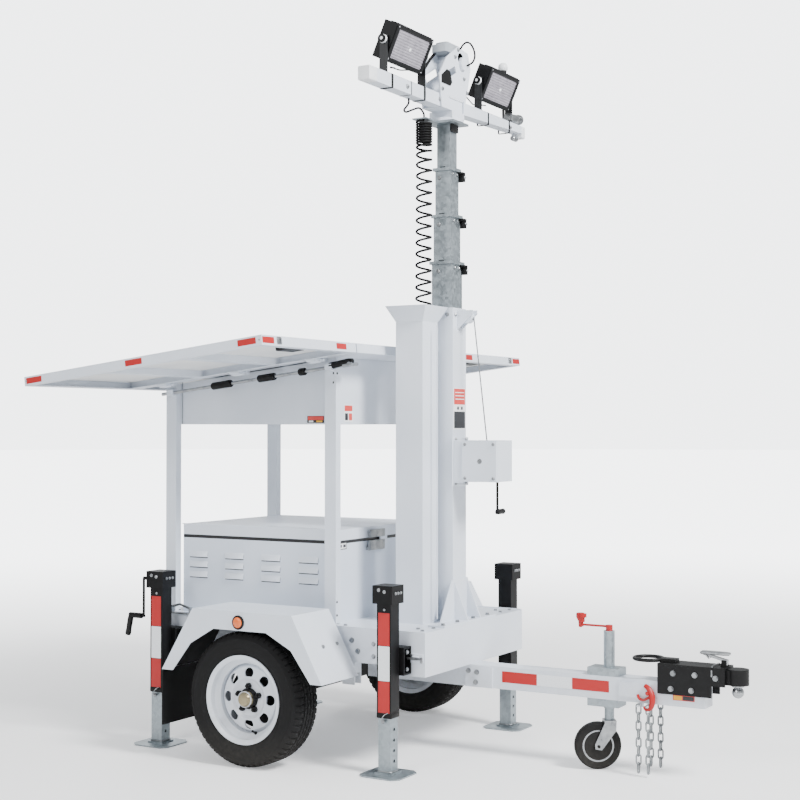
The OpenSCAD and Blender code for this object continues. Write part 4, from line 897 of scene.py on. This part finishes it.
class BuildChassis(BuildStep):
    """Frame bolts, the beam latch, deck plates and the rear bracket"""
    bl_idname = "light_tower.chassis"
    bl_label = "Chassis fittings"

    def execute(self, context):
        fitted("beam_latch_plate", "white powder coat", "root", block(660, 726, -489, -483, 470, 510, 3),
            block(676, 706, -497, -488, 480, 500, 3))
        fitted("beam_latch_pin", "zinc plate", "root", turning([[6, 0], [6, 66], [8, 67], [8, 72]], (655, -501, 490),
            (1, 0, 0), 16), bolt((668, -489, 503), (0, -1, 0), 6), bolt((718, -489, 477), (0, -1, 0), 6))
        fitted("rear_bracket", "zinc plate", "root", block(-660, -522, -505, -478, 601, 609, 3),
            block(-648, -640, -503, -480, 608, 640, 2), block(-540, -532, -503, -480, 608, 634, 2),
            tube([(-644, -492, 634), (-600, -492, 646), (-536, -492, 628)], 6, 12))
        heads = [(x, s*483, z) for s in (1, -1) for x, z in ((474, 535), (474, 480), (520, 508), (-500, 520),
            (-560, 520))]
        fitted("bracket_bolts", "zinc plate", "root", *[bolt((665, s*521, z), (1, 0, 0), 8) for s in (1, -1)
            for z in (445, 519)])
        fitted("side_bolts_left", "zinc plate", "root", *[bolt(p, (0, 1, 0), 9) for p in heads if p[1] > 0])
        fitted("side_bolts_right", "zinc plate", "root", *[bolt(p, (0, -1, 0), 9) for p in heads if p[1] < 0])
        fitted("deck_bolts", "zinc plate", "root", bolts([(x, s*y, DECK_Z) for s in (1, -1) for x, y in ((690, 330),
            (690, 430), (640, 380), (480, 400), (480, 330), (300, 440))], (0, 0, 1), 8))
        # Lips folded along the deck's edges
        edge = [plate(round_rect(1490, 9, 3, 3, (-16, s*478.5)), DECK_Z, DECK_Z + 3.5, "z", 1) for s in (1, -1)]
        fitted("deck_edges", "white powder coat", "root", *edge)
        return {"FINISHED"}


# ---- cabinet, posts and roof ----

LOUVRE_Y = -CABINET[0][1] - 3.5


class BuildCabinet(BuildStep):
    """Catches, label, lid edge and louvre hoods of the battery cabinet, with painted shadow strips under the louvre
    lips
    """
    bl_idname = "light_tower.cabinet"
    bl_label = "Battery cabinet"

    def execute(self, context):
        fitted("cabinet_catch", "zinc plate", "root", block(229, 243, -150, -8, 913, 930, 2),
            block(241, 248, -152, -6, 911, 958, 4), *[screw((248, y, z), (1, 0, 0), 9) for y in (-140, -79, -18)
            for z in (920, 949)])
        fitted("catch_keeper", "zinc plate", "lid", block(242, 249, -152, -6, 972, 1008, 4),
            *[screw((249, y, 990), (1, 0, 0), 9) for y in (-140, -79, -18)])
        sticker("cabinet_label", "root", "x", 229, 1, -390, -318, 930, 962, [("label dark", 0, 1, 0, 1),
            ("label white", 0.06, 0.94, 0.12, 0.88), ("label dark", 0.14, 0.4, 0.3, 0.7),
            ("label dark", 0.56, 0.86, 0.3, 0.7)])
        fitted("lid_edge", "white powder coat", "lid", both_sides(block(-668, 238, 385, 394, 1020, 1023.5, 3)))
        # Louvres: a pressed hood in four groups of three on each side, with a black strip on the wall just under each
        # hood's lip that is a painted shadow
        hoods, shadow_strips = [], []
        for x0 in -618 + 211*np.arange(4):
            for z in DECK_Z + 170 + 48*np.arange(3):
                hoods.append(plate([(-LOUVRE_Y + 0.5, z), (-LOUVRE_Y - 8, z), (-LOUVRE_Y - 8, z + 4),
                    (-LOUVRE_Y + 0.5, z + 29)], x0, x0 + 110, "x", 1.5))
                # Black strip under the lip: painted shadow of the hood
                shadow_strips.append(plate([(-LOUVRE_Y, z - 5), (-LOUVRE_Y - 0.8, z - 5), (-LOUVRE_Y - 0.8, z),
                    (-LOUVRE_Y, z)], x0 + 2, x0 + 108, "x", 0))
        fitted("louvre_hoods", "white powder coat", "root", both_sides(join(*hoods)))
        # The black strips are painted shadows under the louvre lips
        fitted("louvre_painted_shadows", "black rubber", "root", both_sides(join(*shadow_strips)))
        return {"FINISHED"}


class BuildPosts(BuildStep):
    """Labels, screws and post feet"""
    bl_idname = "light_tower.posts"
    bl_label = "Posts and shroud"

    def execute(self, context):
        sticker("shroud_label", "root", "y", -400.4, -1, 66, 159, 1508, 1540, [("label dark", 0, 1, 0, 1),
            ("label red", 0.04, 0.96, 0.42, 0.94), ("label white", 0.1, 0.36, 0.1, 0.34),
            ("label yellow", 0.55, 0.9, 0.1, 0.34)])
        sticker("front_label", "root", "x", 243.4, 1, -365, -290, 1512, 1592, [("label white", 0, 1, 0, 1),
            ("label red", 0.05, 0.95, 0.62, 0.95), ("label dark", 0.1, 0.44, 0.1, 0.5),
            ("label red", 0.54, 0.9, 0.1, 0.5)])
        fitted("post_screws", "black casting", "root", *[screw((248, s*y, z), (1, 0, 0), 11) for s in (1, -1)
            for y, z in ((462, 1732), (430, 1732), (462, 1690), (430, 640), (430, 700))])
        fitted("shroud_filler", "white powder coat", "root", block(237, 242, -399, 399, 1780, 1806, 1))
        seams = [block(x - 1, x + 1, -401.5, -399, 1504, 1800, 0.5) for x in (-660, 180)]
        fitted("shroud_seams", "black rubber", "root", both_sides(join(*seams)))
        feet = [block(x - 34, x + 34, 402, 478, 600, 605, 4) for x in (-694, 214)]
        fitted("post_feet", "white powder coat", "root", both_sides(join(*feet)))
        fitted("post_foot_bolts", "zinc plate", "root", *[bolt((x + dx, s*y, 605), (0, 0, 1), 6.5) for s in (1, -1)
            for x in (-694, 214) for dx, y in ((-26, 410), (26, 410))])
        return {"FINISHED"}


def on_roof(*shapes):
    """Shapes given in the roof's own frame, tilted and set in place."""
    return moved(turned(join(*shapes), (0, 1, 0), -ROOF_TILT), ROOF_AT)


def cell_grid(x0, x1, y0, y1, nx, ny):
    """Solar cells: thin squares with cut corners, a few millimetres apart."""
    dx, dy = (x1 - x0)/nx, (y1 - y0)/ny
    return [plate(round_rect(dx - 3, dy - 3, 15, 2, (x0 + dx*(i + 0.5), y0 + dy*(j + 0.5))), 40.9, 41.5, "z", 0)
        for i in range(nx) for j in range(ny)]


class BuildRoof(BuildStep):
    """Solar cells, back sheets, junction boxes, reflectors and the grips of the lock rods"""
    bl_idname = "light_tower.roof"
    bl_label = "Solar roof"

    def execute(self, context):
        parts = [("centre", "root", -472, 472, 6)]
        parts += [(f"wing_{side}", f"roof_wing_{side}", s*480, s*ROOF_HALF, 4) for side, s in SIDES.items()]
        for name, body, a, b, across in parts:
            y0, y1 = sorted((a, b))
            fitted(f"cells_{name}", "solar cell", body, on_roof(*cell_grid(-1272, -35, y0 + 35, y1 - 35, 8, across)))
            sheet = block(-1290, -18, y0 + 18, y1 - 18, 32.6, 33.9, 2)
            fitted(f"backsheet_{name}", "backsheet", body, on_roof(sheet))
            mid = (y0 + y1)/2
            fitted(f"junction_box_{name}", "black moulded plastic", body,
                on_roof(plate(round_rect(70, 130, 8, 5, (-150, mid + 60)), 16, 33, "z", 3)))
            gasket = [block(-1277, -30, y - 2, y + 2, 41, 42.6, 1) for y in (y0 + 31, y1 - 31)]
            gasket += [block(x - 2, x + 2, y0 + 30, y1 - 30, 41, 42.6, 1) for x in (-1277, -30)]
            fitted(f"glass_gasket_{name}", "black rubber", body, on_roof(*gasket))
        fitted("roof_soffit", "white powder coat", "root", on_roof(block(-137, -4, -466, 466, -1.2, 0.4, 1)))
        for side, s in SIDES.items():
            wing = f"roof_wing_{side}"
            tapes = [on_face("y", s*ROOF_HALF, s, x - 46, x + 46, 9, 35, 0.8) for x in (-1250, -673, -75)]
            tapes += [on_face("x", 0, 1, min(a, b), max(a, b), 9, 35, 0.8) for a, b in ((s*1192, s*1110),
                (s*560, s*640))]
            tapes.append(on_face("x", -1307, -1, min(s*1192, s*1110), max(s*1192, s*1110), 9, 35, 0.8))
            fitted(f"roof_reflectors_{side}", "red marking tape", wing, on_roof(*tapes))
            ring = [(3 + 3*math.sin(t), s*1075 + 11*math.cos(t), 22 + 11*math.sin(t))
                for t in np.linspace(0, 2*math.pi, 25)]
            fitted(f"roof_ring_{side}", "zinc plate", wing, on_roof(tube(ring, 2.6, 8, False),
                block(-0.5, 4, s*1075 - 16, s*1075 + 16, 8, 38, 3)))
            fitted(f"corner_keys_{side}", "zinc plate", wing,
                on_roof(*[screw((x, s*(ROOF_HALF + 0.4), 22), (0, s, 0), 8)
                for x in (-1295, -12)]))
            fitted(f"lock_grip_{side}", "black rubber", f"lock_{side}", on_roof(
                tube([(x, s*ROD[1], ROD[2]) for x in (-830, -826, -720, -716)], [15, 17.5, 17.5, 15], 20),
                tube([(x, s*ROD[1], ROD[2]) for x in (-560, -556, -470, -466)], [15, 17.5, 17.5, 15], 20),
                tube([(x, s*ROD[1], ROD[2]) for x in (-330, -326, -300, -296)], [15, 17.5, 17.5, 15], 20),
                tube([(x, s*ROD[1], ROD[2] + 6 + (x + 160)*0.06) for x in (-166, -160, -60, -38)],
                [12, 15.5, 15.5, 11],
                20)))
        return {"FINISHED"}


# ---- mast, winch and lamp head ----

class BuildMast(BuildStep):
    """Labels, clips, wear pads and bolts of the mast, and the winch's fittings"""
    bl_idname = "light_tower.mast"
    bl_label = "Mast and winch"

    def execute(self, context):
        sticker("mast_label", "root", "x", MAST_FRONT + 0.2, 1, -60, 60, 1478, 1670, [("label white", 0, 1, 0, 1),
            ("label red", 0.05, 0.95, 0.6, 0.98), ("label dark", 0.05, 0.95, 0.03, 0.43),
            ("label white", 0.14, 0.86, 0.88, 0.9), ("label white", 0.14, 0.86, 0.8, 0.82),
            ("label white", 0.14, 0.86, 0.72, 0.74), ("label dark", 0.3, 0.42, 0.48, 0.55),
            ("label dark", 0.6, 0.72, 0.48, 0.55)])
        for k, top, half in ((1, 2258, 52), (2, 2476, 46), (3, 2694, 40)):
            body = f"mast_{k}"
            front = MAST_X + half
            fitted(f"mast_clip_{k}", "black powder coat", body,
                block(front - 14, front + 26, 44, 62, top - 58, top - 16, 3),
                block(front - 26, front + 26, 30, 62, top - 24, top - 14, 3))
            fitted(f"mast_bolts_{k}", "zinc plate", body, bolt((MAST_X - 18, -half - 0.5, top - 46), (0, -1, 0), 9),
                bolt((front + 0.5, -20, top - 30), (1, 0, 0), 6), bolt((front + 0.5, 20, top - 30), (1, 0, 0), 6),
                bolt((front + 26, 53, top - 38), (1, 0, 0), 6))
            fitted(f"wear_pads_{k}", "black moulded plastic", body, *[block(MAST_X - 14, MAST_X + 14,
                min(s*(half + 7), s*(half + 1)), max(s*(half + 7), s*(half + 1)), top, top + 5, 2) for s in (1, -1)])
        fitted("head_block", "black moulded plastic", "mast_4",
            block(MAST_X + 35, MAST_X + 44, -34, 34, 2862, 2904, 3))
        fitted("winch_plate_screws", "zinc plate", "root", *[bolt((x, s*82, z), (0, s, 0), 6.5) for s in (1, -1)
            for x in (716, 860) for z in (1256, 1410)])
        fitted("winch_back_plate", "white powder coat", "root",
            block(MAST_FRONT, MAST_FRONT + 7, -78, 78, 1218, 1442, 4),
            block(652, 702, -73, -64, 1238, 1428, 2), block(652, 702, 64, 73, 1238, 1428, 2))
        fitted("winch_back_bolts", "zinc plate", "root", *[bolt((652, y, z), (1, 0, 0), 7) for y in (-50, 50)
            for z in (1230, 1433)])
        fitted("winch_rim", "white powder coat", "root", *[plate(round_rect(174, 5, 1, 3, (788, s*80)), 1424, 1428,
            "z", 1) for s in (1, -1)])
        fitted("winch_grip", "black moulded plastic", "winch_handle", turning([[8, 0], [12, 3], [13, 16], [12, 44],
            [13.4, 62], [10, 69], [4, 71]], (791, 96, 1096), (0, 1, 0), 24))
        fitted("column_seam", "white powder coat", "root", block(620, 624.5, -176, -170, 620, 1950, 1))
        fitted("mast_top_bolts", "zinc plate", "root",
            *[bolt((MAST_FRONT, y, 2008), (1, 0, 0), 8) for y in (-40, 40)],
            *[bolt((MAST_X + x, -65, 2008), (0, -1, 0), 8) for x in (-36, 36)])
        fitted("rope_anchor", "zinc plate", "root", block(700, 716, -9, 9, 1984, 2002, 3))
        return {"FINISHED"}


class BuildHead(BuildStep):
    """Window plate, bolts, actuator drum, motor cover, cable glands, bands, end caps, far cylinder and beacon on the
    lamp head
    """
    bl_idname = "light_tower.head"
    bl_label = "Lamp head"

    def execute(self, context):
        head = "lamp_head"
        fitted("head_window", "black powder coat", head, plate(np.array([(-160, 3062), (-74, 3062), (-58, 3082),
            (-76, 3128), (-108, 3134), (-160, 3098)]), 638.2, 640, "x", 0.5))
        fitted("head_bolts", "zinc plate", head, *[bolt((638, y, z), (1, 0, 0), 8) for y, z in ((32, 3177), (2, 3246),
            (-28, 3206), (90, 3060), (-150, 3035), (60, 3120))])
        # Actuator: a ribbed drum across the top of the cheeks with its motor behind
        fitted("actuator_drum", "grey moulded plastic", head, turning([[26, -58], [36, -54], [38, -50], [38, -46],
            [35, -44], [35, -20], [38, -18], [38, 18], [35, 20], [35, 44], [38, 46], [38, 50], [36, 54], [26, 58]],
            (580, 26, 3210), (1, 0, 0), 40))
        fitted("motor_case", "grey moulded plastic", head, block(540, 620, -84, 130, 3226, 3262, 16),
            block(548, 612, -60, 100, 3262, 3276, 14))
        fitted("motor_lid", "white moulded plastic", head, block(554, 606, -44, 84, 3276, 3282, 12))
        fitted("cable_glands", "black moulded plastic", head, *[turning([[9, 0], [9, 6], [7.5, 8], [7.5, 16],
            [5, 20]], p, d, 6) for p, d in (((612, 22, 3252), (1, 0, 0.1)), ((560, 40, 3272), (-0.3, 0, 1)),
            ((618, 34, 3176), (1, 0, 0)))])
        bands, rings = [], []
        for y, w in ((-585, 7), (-300, 7), (-420, 3), (560, 5), (330, 5)):
            outer, inner = (round_rect(63, 63, 5, 4, (600, BAR_Z)), round_rect(56, 56, 4, 4, (600, BAR_Z)))
            loop = [np.column_stack([o[:, 0], np.full(16, y + k), o[:, 1]]) for o, k in ((outer, -w), (outer, w),
                (inner, w), (inner, -w))]
            (bands if w > 3 else rings).append(skin(loop, False, True))
        fitted("bar_bands", "black rubber", head, *bands)
        fitted("bar_rings", "zinc plate", head, *rings, bolt((629, -160, BAR_Z), (1, 0, 0), 8),
            bolt((629, 573, BAR_Z), (1, 0, 0), 8), bolt((629, -455, BAR_Z), (1, 0, 0), 9))
        end = round_rect(61, 61, 6, 4, (600, BAR_Z))
        fitted("bar_end_caps", "white moulded plastic", head, plate(end, -773, -708, "y", 3),
            plate(end, 706, 743, "y", 3))
        fitted("far_cylinder", "zinc plate", head, turning([[20, 0], [26, 4], [26, 20], [23, 22], [23, 108],
            [26, 110],
            [26, 128], [20, 132]], (600, 606, BAR_Z + 56), (0, 1, 0.1), 32), block(588, 612, 640, 664, BAR_Z + 28,
            BAR_Z + 44, 3))
        fitted("far_cylinder_foot", "zinc plate", head, turning([[10, 0], [13, 3], [13, 44], [10, 47]],
            (600, 654, BAR_Z - 26 - 10), (0, 1, 0), 24))
        fitted("beacon_stem", "black moulded plastic", head, tube(smooth_path([(571, 662, 2996), (556, 662, 3006),
            (548, 662, 3040), (546, 661, 3180), (546, 660, 3292)], 6), 7, 12), turning([[16, 0], [19, 3], [19, 9],
            [15, 12]], (546, 660, 3286), (0, 0, 1), 28))
        fitted("beacon", "white moulded plastic", head, turning([[19, 0], [24, 6], [25, 18], [22, 30], [14, 38],
            [4, 41]], (546, 660, 3296), (0, 0, 1), 32))
        return {"FINISHED"}


LAMP = (604.0, 445.0, 3161.4)
LAMP_TILT = 24.0


class BuildLamps(BuildStep):
    """Bezels, ribbed reflectors, centre domes, screws, knobs and top caps of the floodlights"""
    bl_idname = "light_tower.lamps"
    bl_label = "Floodlights"

    def execute(self, context):
        for side, s in SIDES.items():
            body, mid = f"floodlight_{side}", np.array([LAMP[0], s*LAMP[1], LAMP[2]])

            def set_in(*shapes):
                """Shapes round the lamp's own centre, tilted down and put in its bracket."""
                return moved(turned(join(*shapes), (0, 1, 0), LAMP_TILT), mid)

            outer, inner = round_rect(312, 165, 10, 4), round_rect(262, 128, 6, 4)
            steps = [(outer, 34), (outer, 37.5), (inset(outer, 3), 40), (inset(inner, -4), 40), (inner, 37.4),
                (inner, 32.5), (outer, 32.5)]
            ring = [np.column_stack([np.full(16, x), o]) for o, x in steps]
            fitted(f"lamp_bezel_{side}", "lamp casting", body, set_in(skin(ring, False, True)))
            # Reflector: parallel ribs whose height goes as a half wave every 12 mm
            z = np.linspace(-63, 63, 128)
            x = 35.2 + 3.0*np.abs(np.sin(z*math.pi/12))
            edge = np.concatenate([np.column_stack([x, z]), [(29, 63), (29, -63)]])
            y = np.array([-130, 130])
            reflector = skin([np.column_stack([edge[:, 0], np.full(len(edge), k), edge[:, 1]]) for k in y])
            fitted(f"lamp_reflector_{side}", "reflector grey", body, set_in(reflector), smooth=50)
            fitted(f"lamp_centre_{side}", "white moulded plastic", body,
                set_in(turning([[9, 36], [9, 37.6], [6, 38.6],
                [2, 38.8]], (0, 0, 0), (1, 0, 0), 20)))
            fitted(f"lamp_screws_{side}", "zinc plate", body, set_in(*[screw((40, a*144, b*72), (1, 0, 0), 8)
                for a in (1, -1) for b in (1, -1)]))
            knob = [turning([[14, 0], [19, 2], [19, 12], [17, 14], [11, 15], [10, 20], [4, 21]], (0, k*170.5, 0),
                (0, k, 0), 28) for k in (1, -1)]
            fitted(f"lamp_knobs_{side}", "white moulded plastic", body, moved(join(*knob), mid))
            fitted(f"lamp_top_cap_{side}", "lamp casting", body, set_in(block(-10, 30, -150, 150, 82.5, 86, 3),
                block(-42, -30, -60, 60, -30, 30, 5)))
        return {"FINISHED"}


# ---- drawbar, coupler and jockey wheel ----

class BuildDrawbar(BuildStep):
    """Marking tape, label, hook, clamp bolts, coupler bolts and the jockey wheel's parts"""
    bl_idname = "light_tower.drawbar"
    bl_label = "Drawbar and coupler"

    def execute(self, context):
        high = context.scene.tower_sizes.tape_width/MM
        red, white = [], []
        for s in (1, -1):
            for x0, x1, into in ((888, 1061, red), (1061, 1230, white), (1230, 1404, red)):
                into.append(on_face("y", s*50.2, s, x0, x1, 364 - high/2, 364 + high/2, 0.7))
        fitted("drawbar_tape_red", "red marking tape", "root", *red)
        fitted("drawbar_tape_white", "white marking tape", "root", *white)
        sticker("drawbar_label", "root", "y", -50.2, -1, 1693, 1789, 334, 362, [("label red", 0, 1, 0, 1),
            ("label yellow", 0.04, 0.42, 0.1, 0.72), ("label dark", 0.46, 0.96, 0.1, 0.72)])
        # Clevis hook: an open ring with a throat and a shackle pin through its eye
        hook = smooth_path([(1572, -60, 386), (1592, -64, 372), (1606, -68, 344), (1608, -71, 314), (1598, -72, 292),
            (1580, -72, 288), (1572, -72, 300)], 8)
        fitted("safety_hook", "red moulded plastic", "root", tube(hook, np.interp(np.arange(len(hook)),
            [0, 16, 30, len(hook) - 1], [9, 14, 11, 5]), 14), tube(smooth_path([(1594, -66, 340), (1570, -70, 326),
            (1550, -72, 332), (1543, -72, 348)], 6), 6, 10), bolt((1588, -78, 356), (0, -1, 0), 7))
        ubolts = []
        for z in (412, 288):
            up = 1 if z > 350 else -1
            ubolts += [bolt((x, y, z), (0, 0, up), 8) for x in (1311, 1347, 1403, 1436) for y in (-32, 32)]
        fitted("jockey_clamp_bolts", "zinc plate", "root", *ubolts)
        fitted("jockey_knob", "red moulded plastic", "jockey_handle",
            turning([[6, 0], [8, 4], [9, 26], [17, 40], [19, 46],
            [19, 60], [16, 63], [5, 64]], (1249, 0, 606), (0, 0, 1), 32))
        way, hub = np.array([-math.sin(math.radians(32)), math.cos(math.radians(32)), 0]), (1340.9, -27.6, 102)
        fitted("jockey_rim", "turned steel", "jockey_roller", *[turning([[66, 8], [74, 17.2], [72, 18.6], [64, 18.8],
            [58, 17.6], [40, 17.4], [26, 18.8], [10, 19]], hub, k*way, 40) for k in (1, -1)])
        fitted("latch_handle", "zinc plate", "latch", plate(np.array([(1800, -15), (1812, -21), (1900, -21),
            (1926, -12), (1926, 12), (1900, 21), (1812, 21), (1800, 15)]), 533, 545, "z", 3),
            tube([(1818, -14, 540), (1840, -14, 516)], 3.5, 10), tube([(1818, 14, 540), (1840, 14, 516)], 3.5, 10))
        fitted("coupler_band", "zinc plate", "root", skin([np.column_stack([np.full(24, x), round_rect(w, h, 22, 6,
            (0, 461))]) for x, w, h in ((1862, 118, 62), (1862, 121, 65), (1868, 121, 65), (1868, 118, 62))],
            False, True))
        return {"FINISHED"}


STEPS = [BuildStage, BuildCords, PaintFrame, BuildWheels, BuildFenders, BuildJacks, BuildChassis, BuildCabinet,
    BuildPosts, BuildRoof, BuildMast, BuildHead, BuildLamps, BuildDrawbar]


class TowerPanel(bpy.types.Panel):
    """Steps of the light tower in the order in which they run"""
    bl_idname = "VIEW3D_PT_light_tower"
    bl_label = "Light tower"
    bl_space_type = "VIEW_3D"
    bl_region_type = "UI"
    bl_category = "Light tower"

    def draw(self, context):
        layout = self.layout
        for group in (context.scene.tower_sizes, context.scene.tower_colours):
            box = layout.box()
            for name in group.__annotations__:
                box.prop(group, name)
        for step in STEPS:
            layout.operator(step.bl_idname)


CLASSES = [TowerSizes, TowerColours, *STEPS, TowerPanel]


def register():
    for item in CLASSES:
        bpy.utils.register_class(item)
    bpy.types.Scene.tower_sizes = bpy.props.PointerProperty(type=TowerSizes)
    bpy.types.Scene.tower_colours = bpy.props.PointerProperty(type=TowerColours)


def unregister():
    del bpy.types.Scene.tower_colours
    del bpy.types.Scene.tower_sizes
    for item in reversed(CLASSES):
        bpy.utils.unregister_class(item)


def main():
    register()
    for step in STEPS:
        group, name = step.bl_idname.split(".")
        getattr(getattr(bpy.ops, group), name)()


if __name__ == "__main__":
    main()
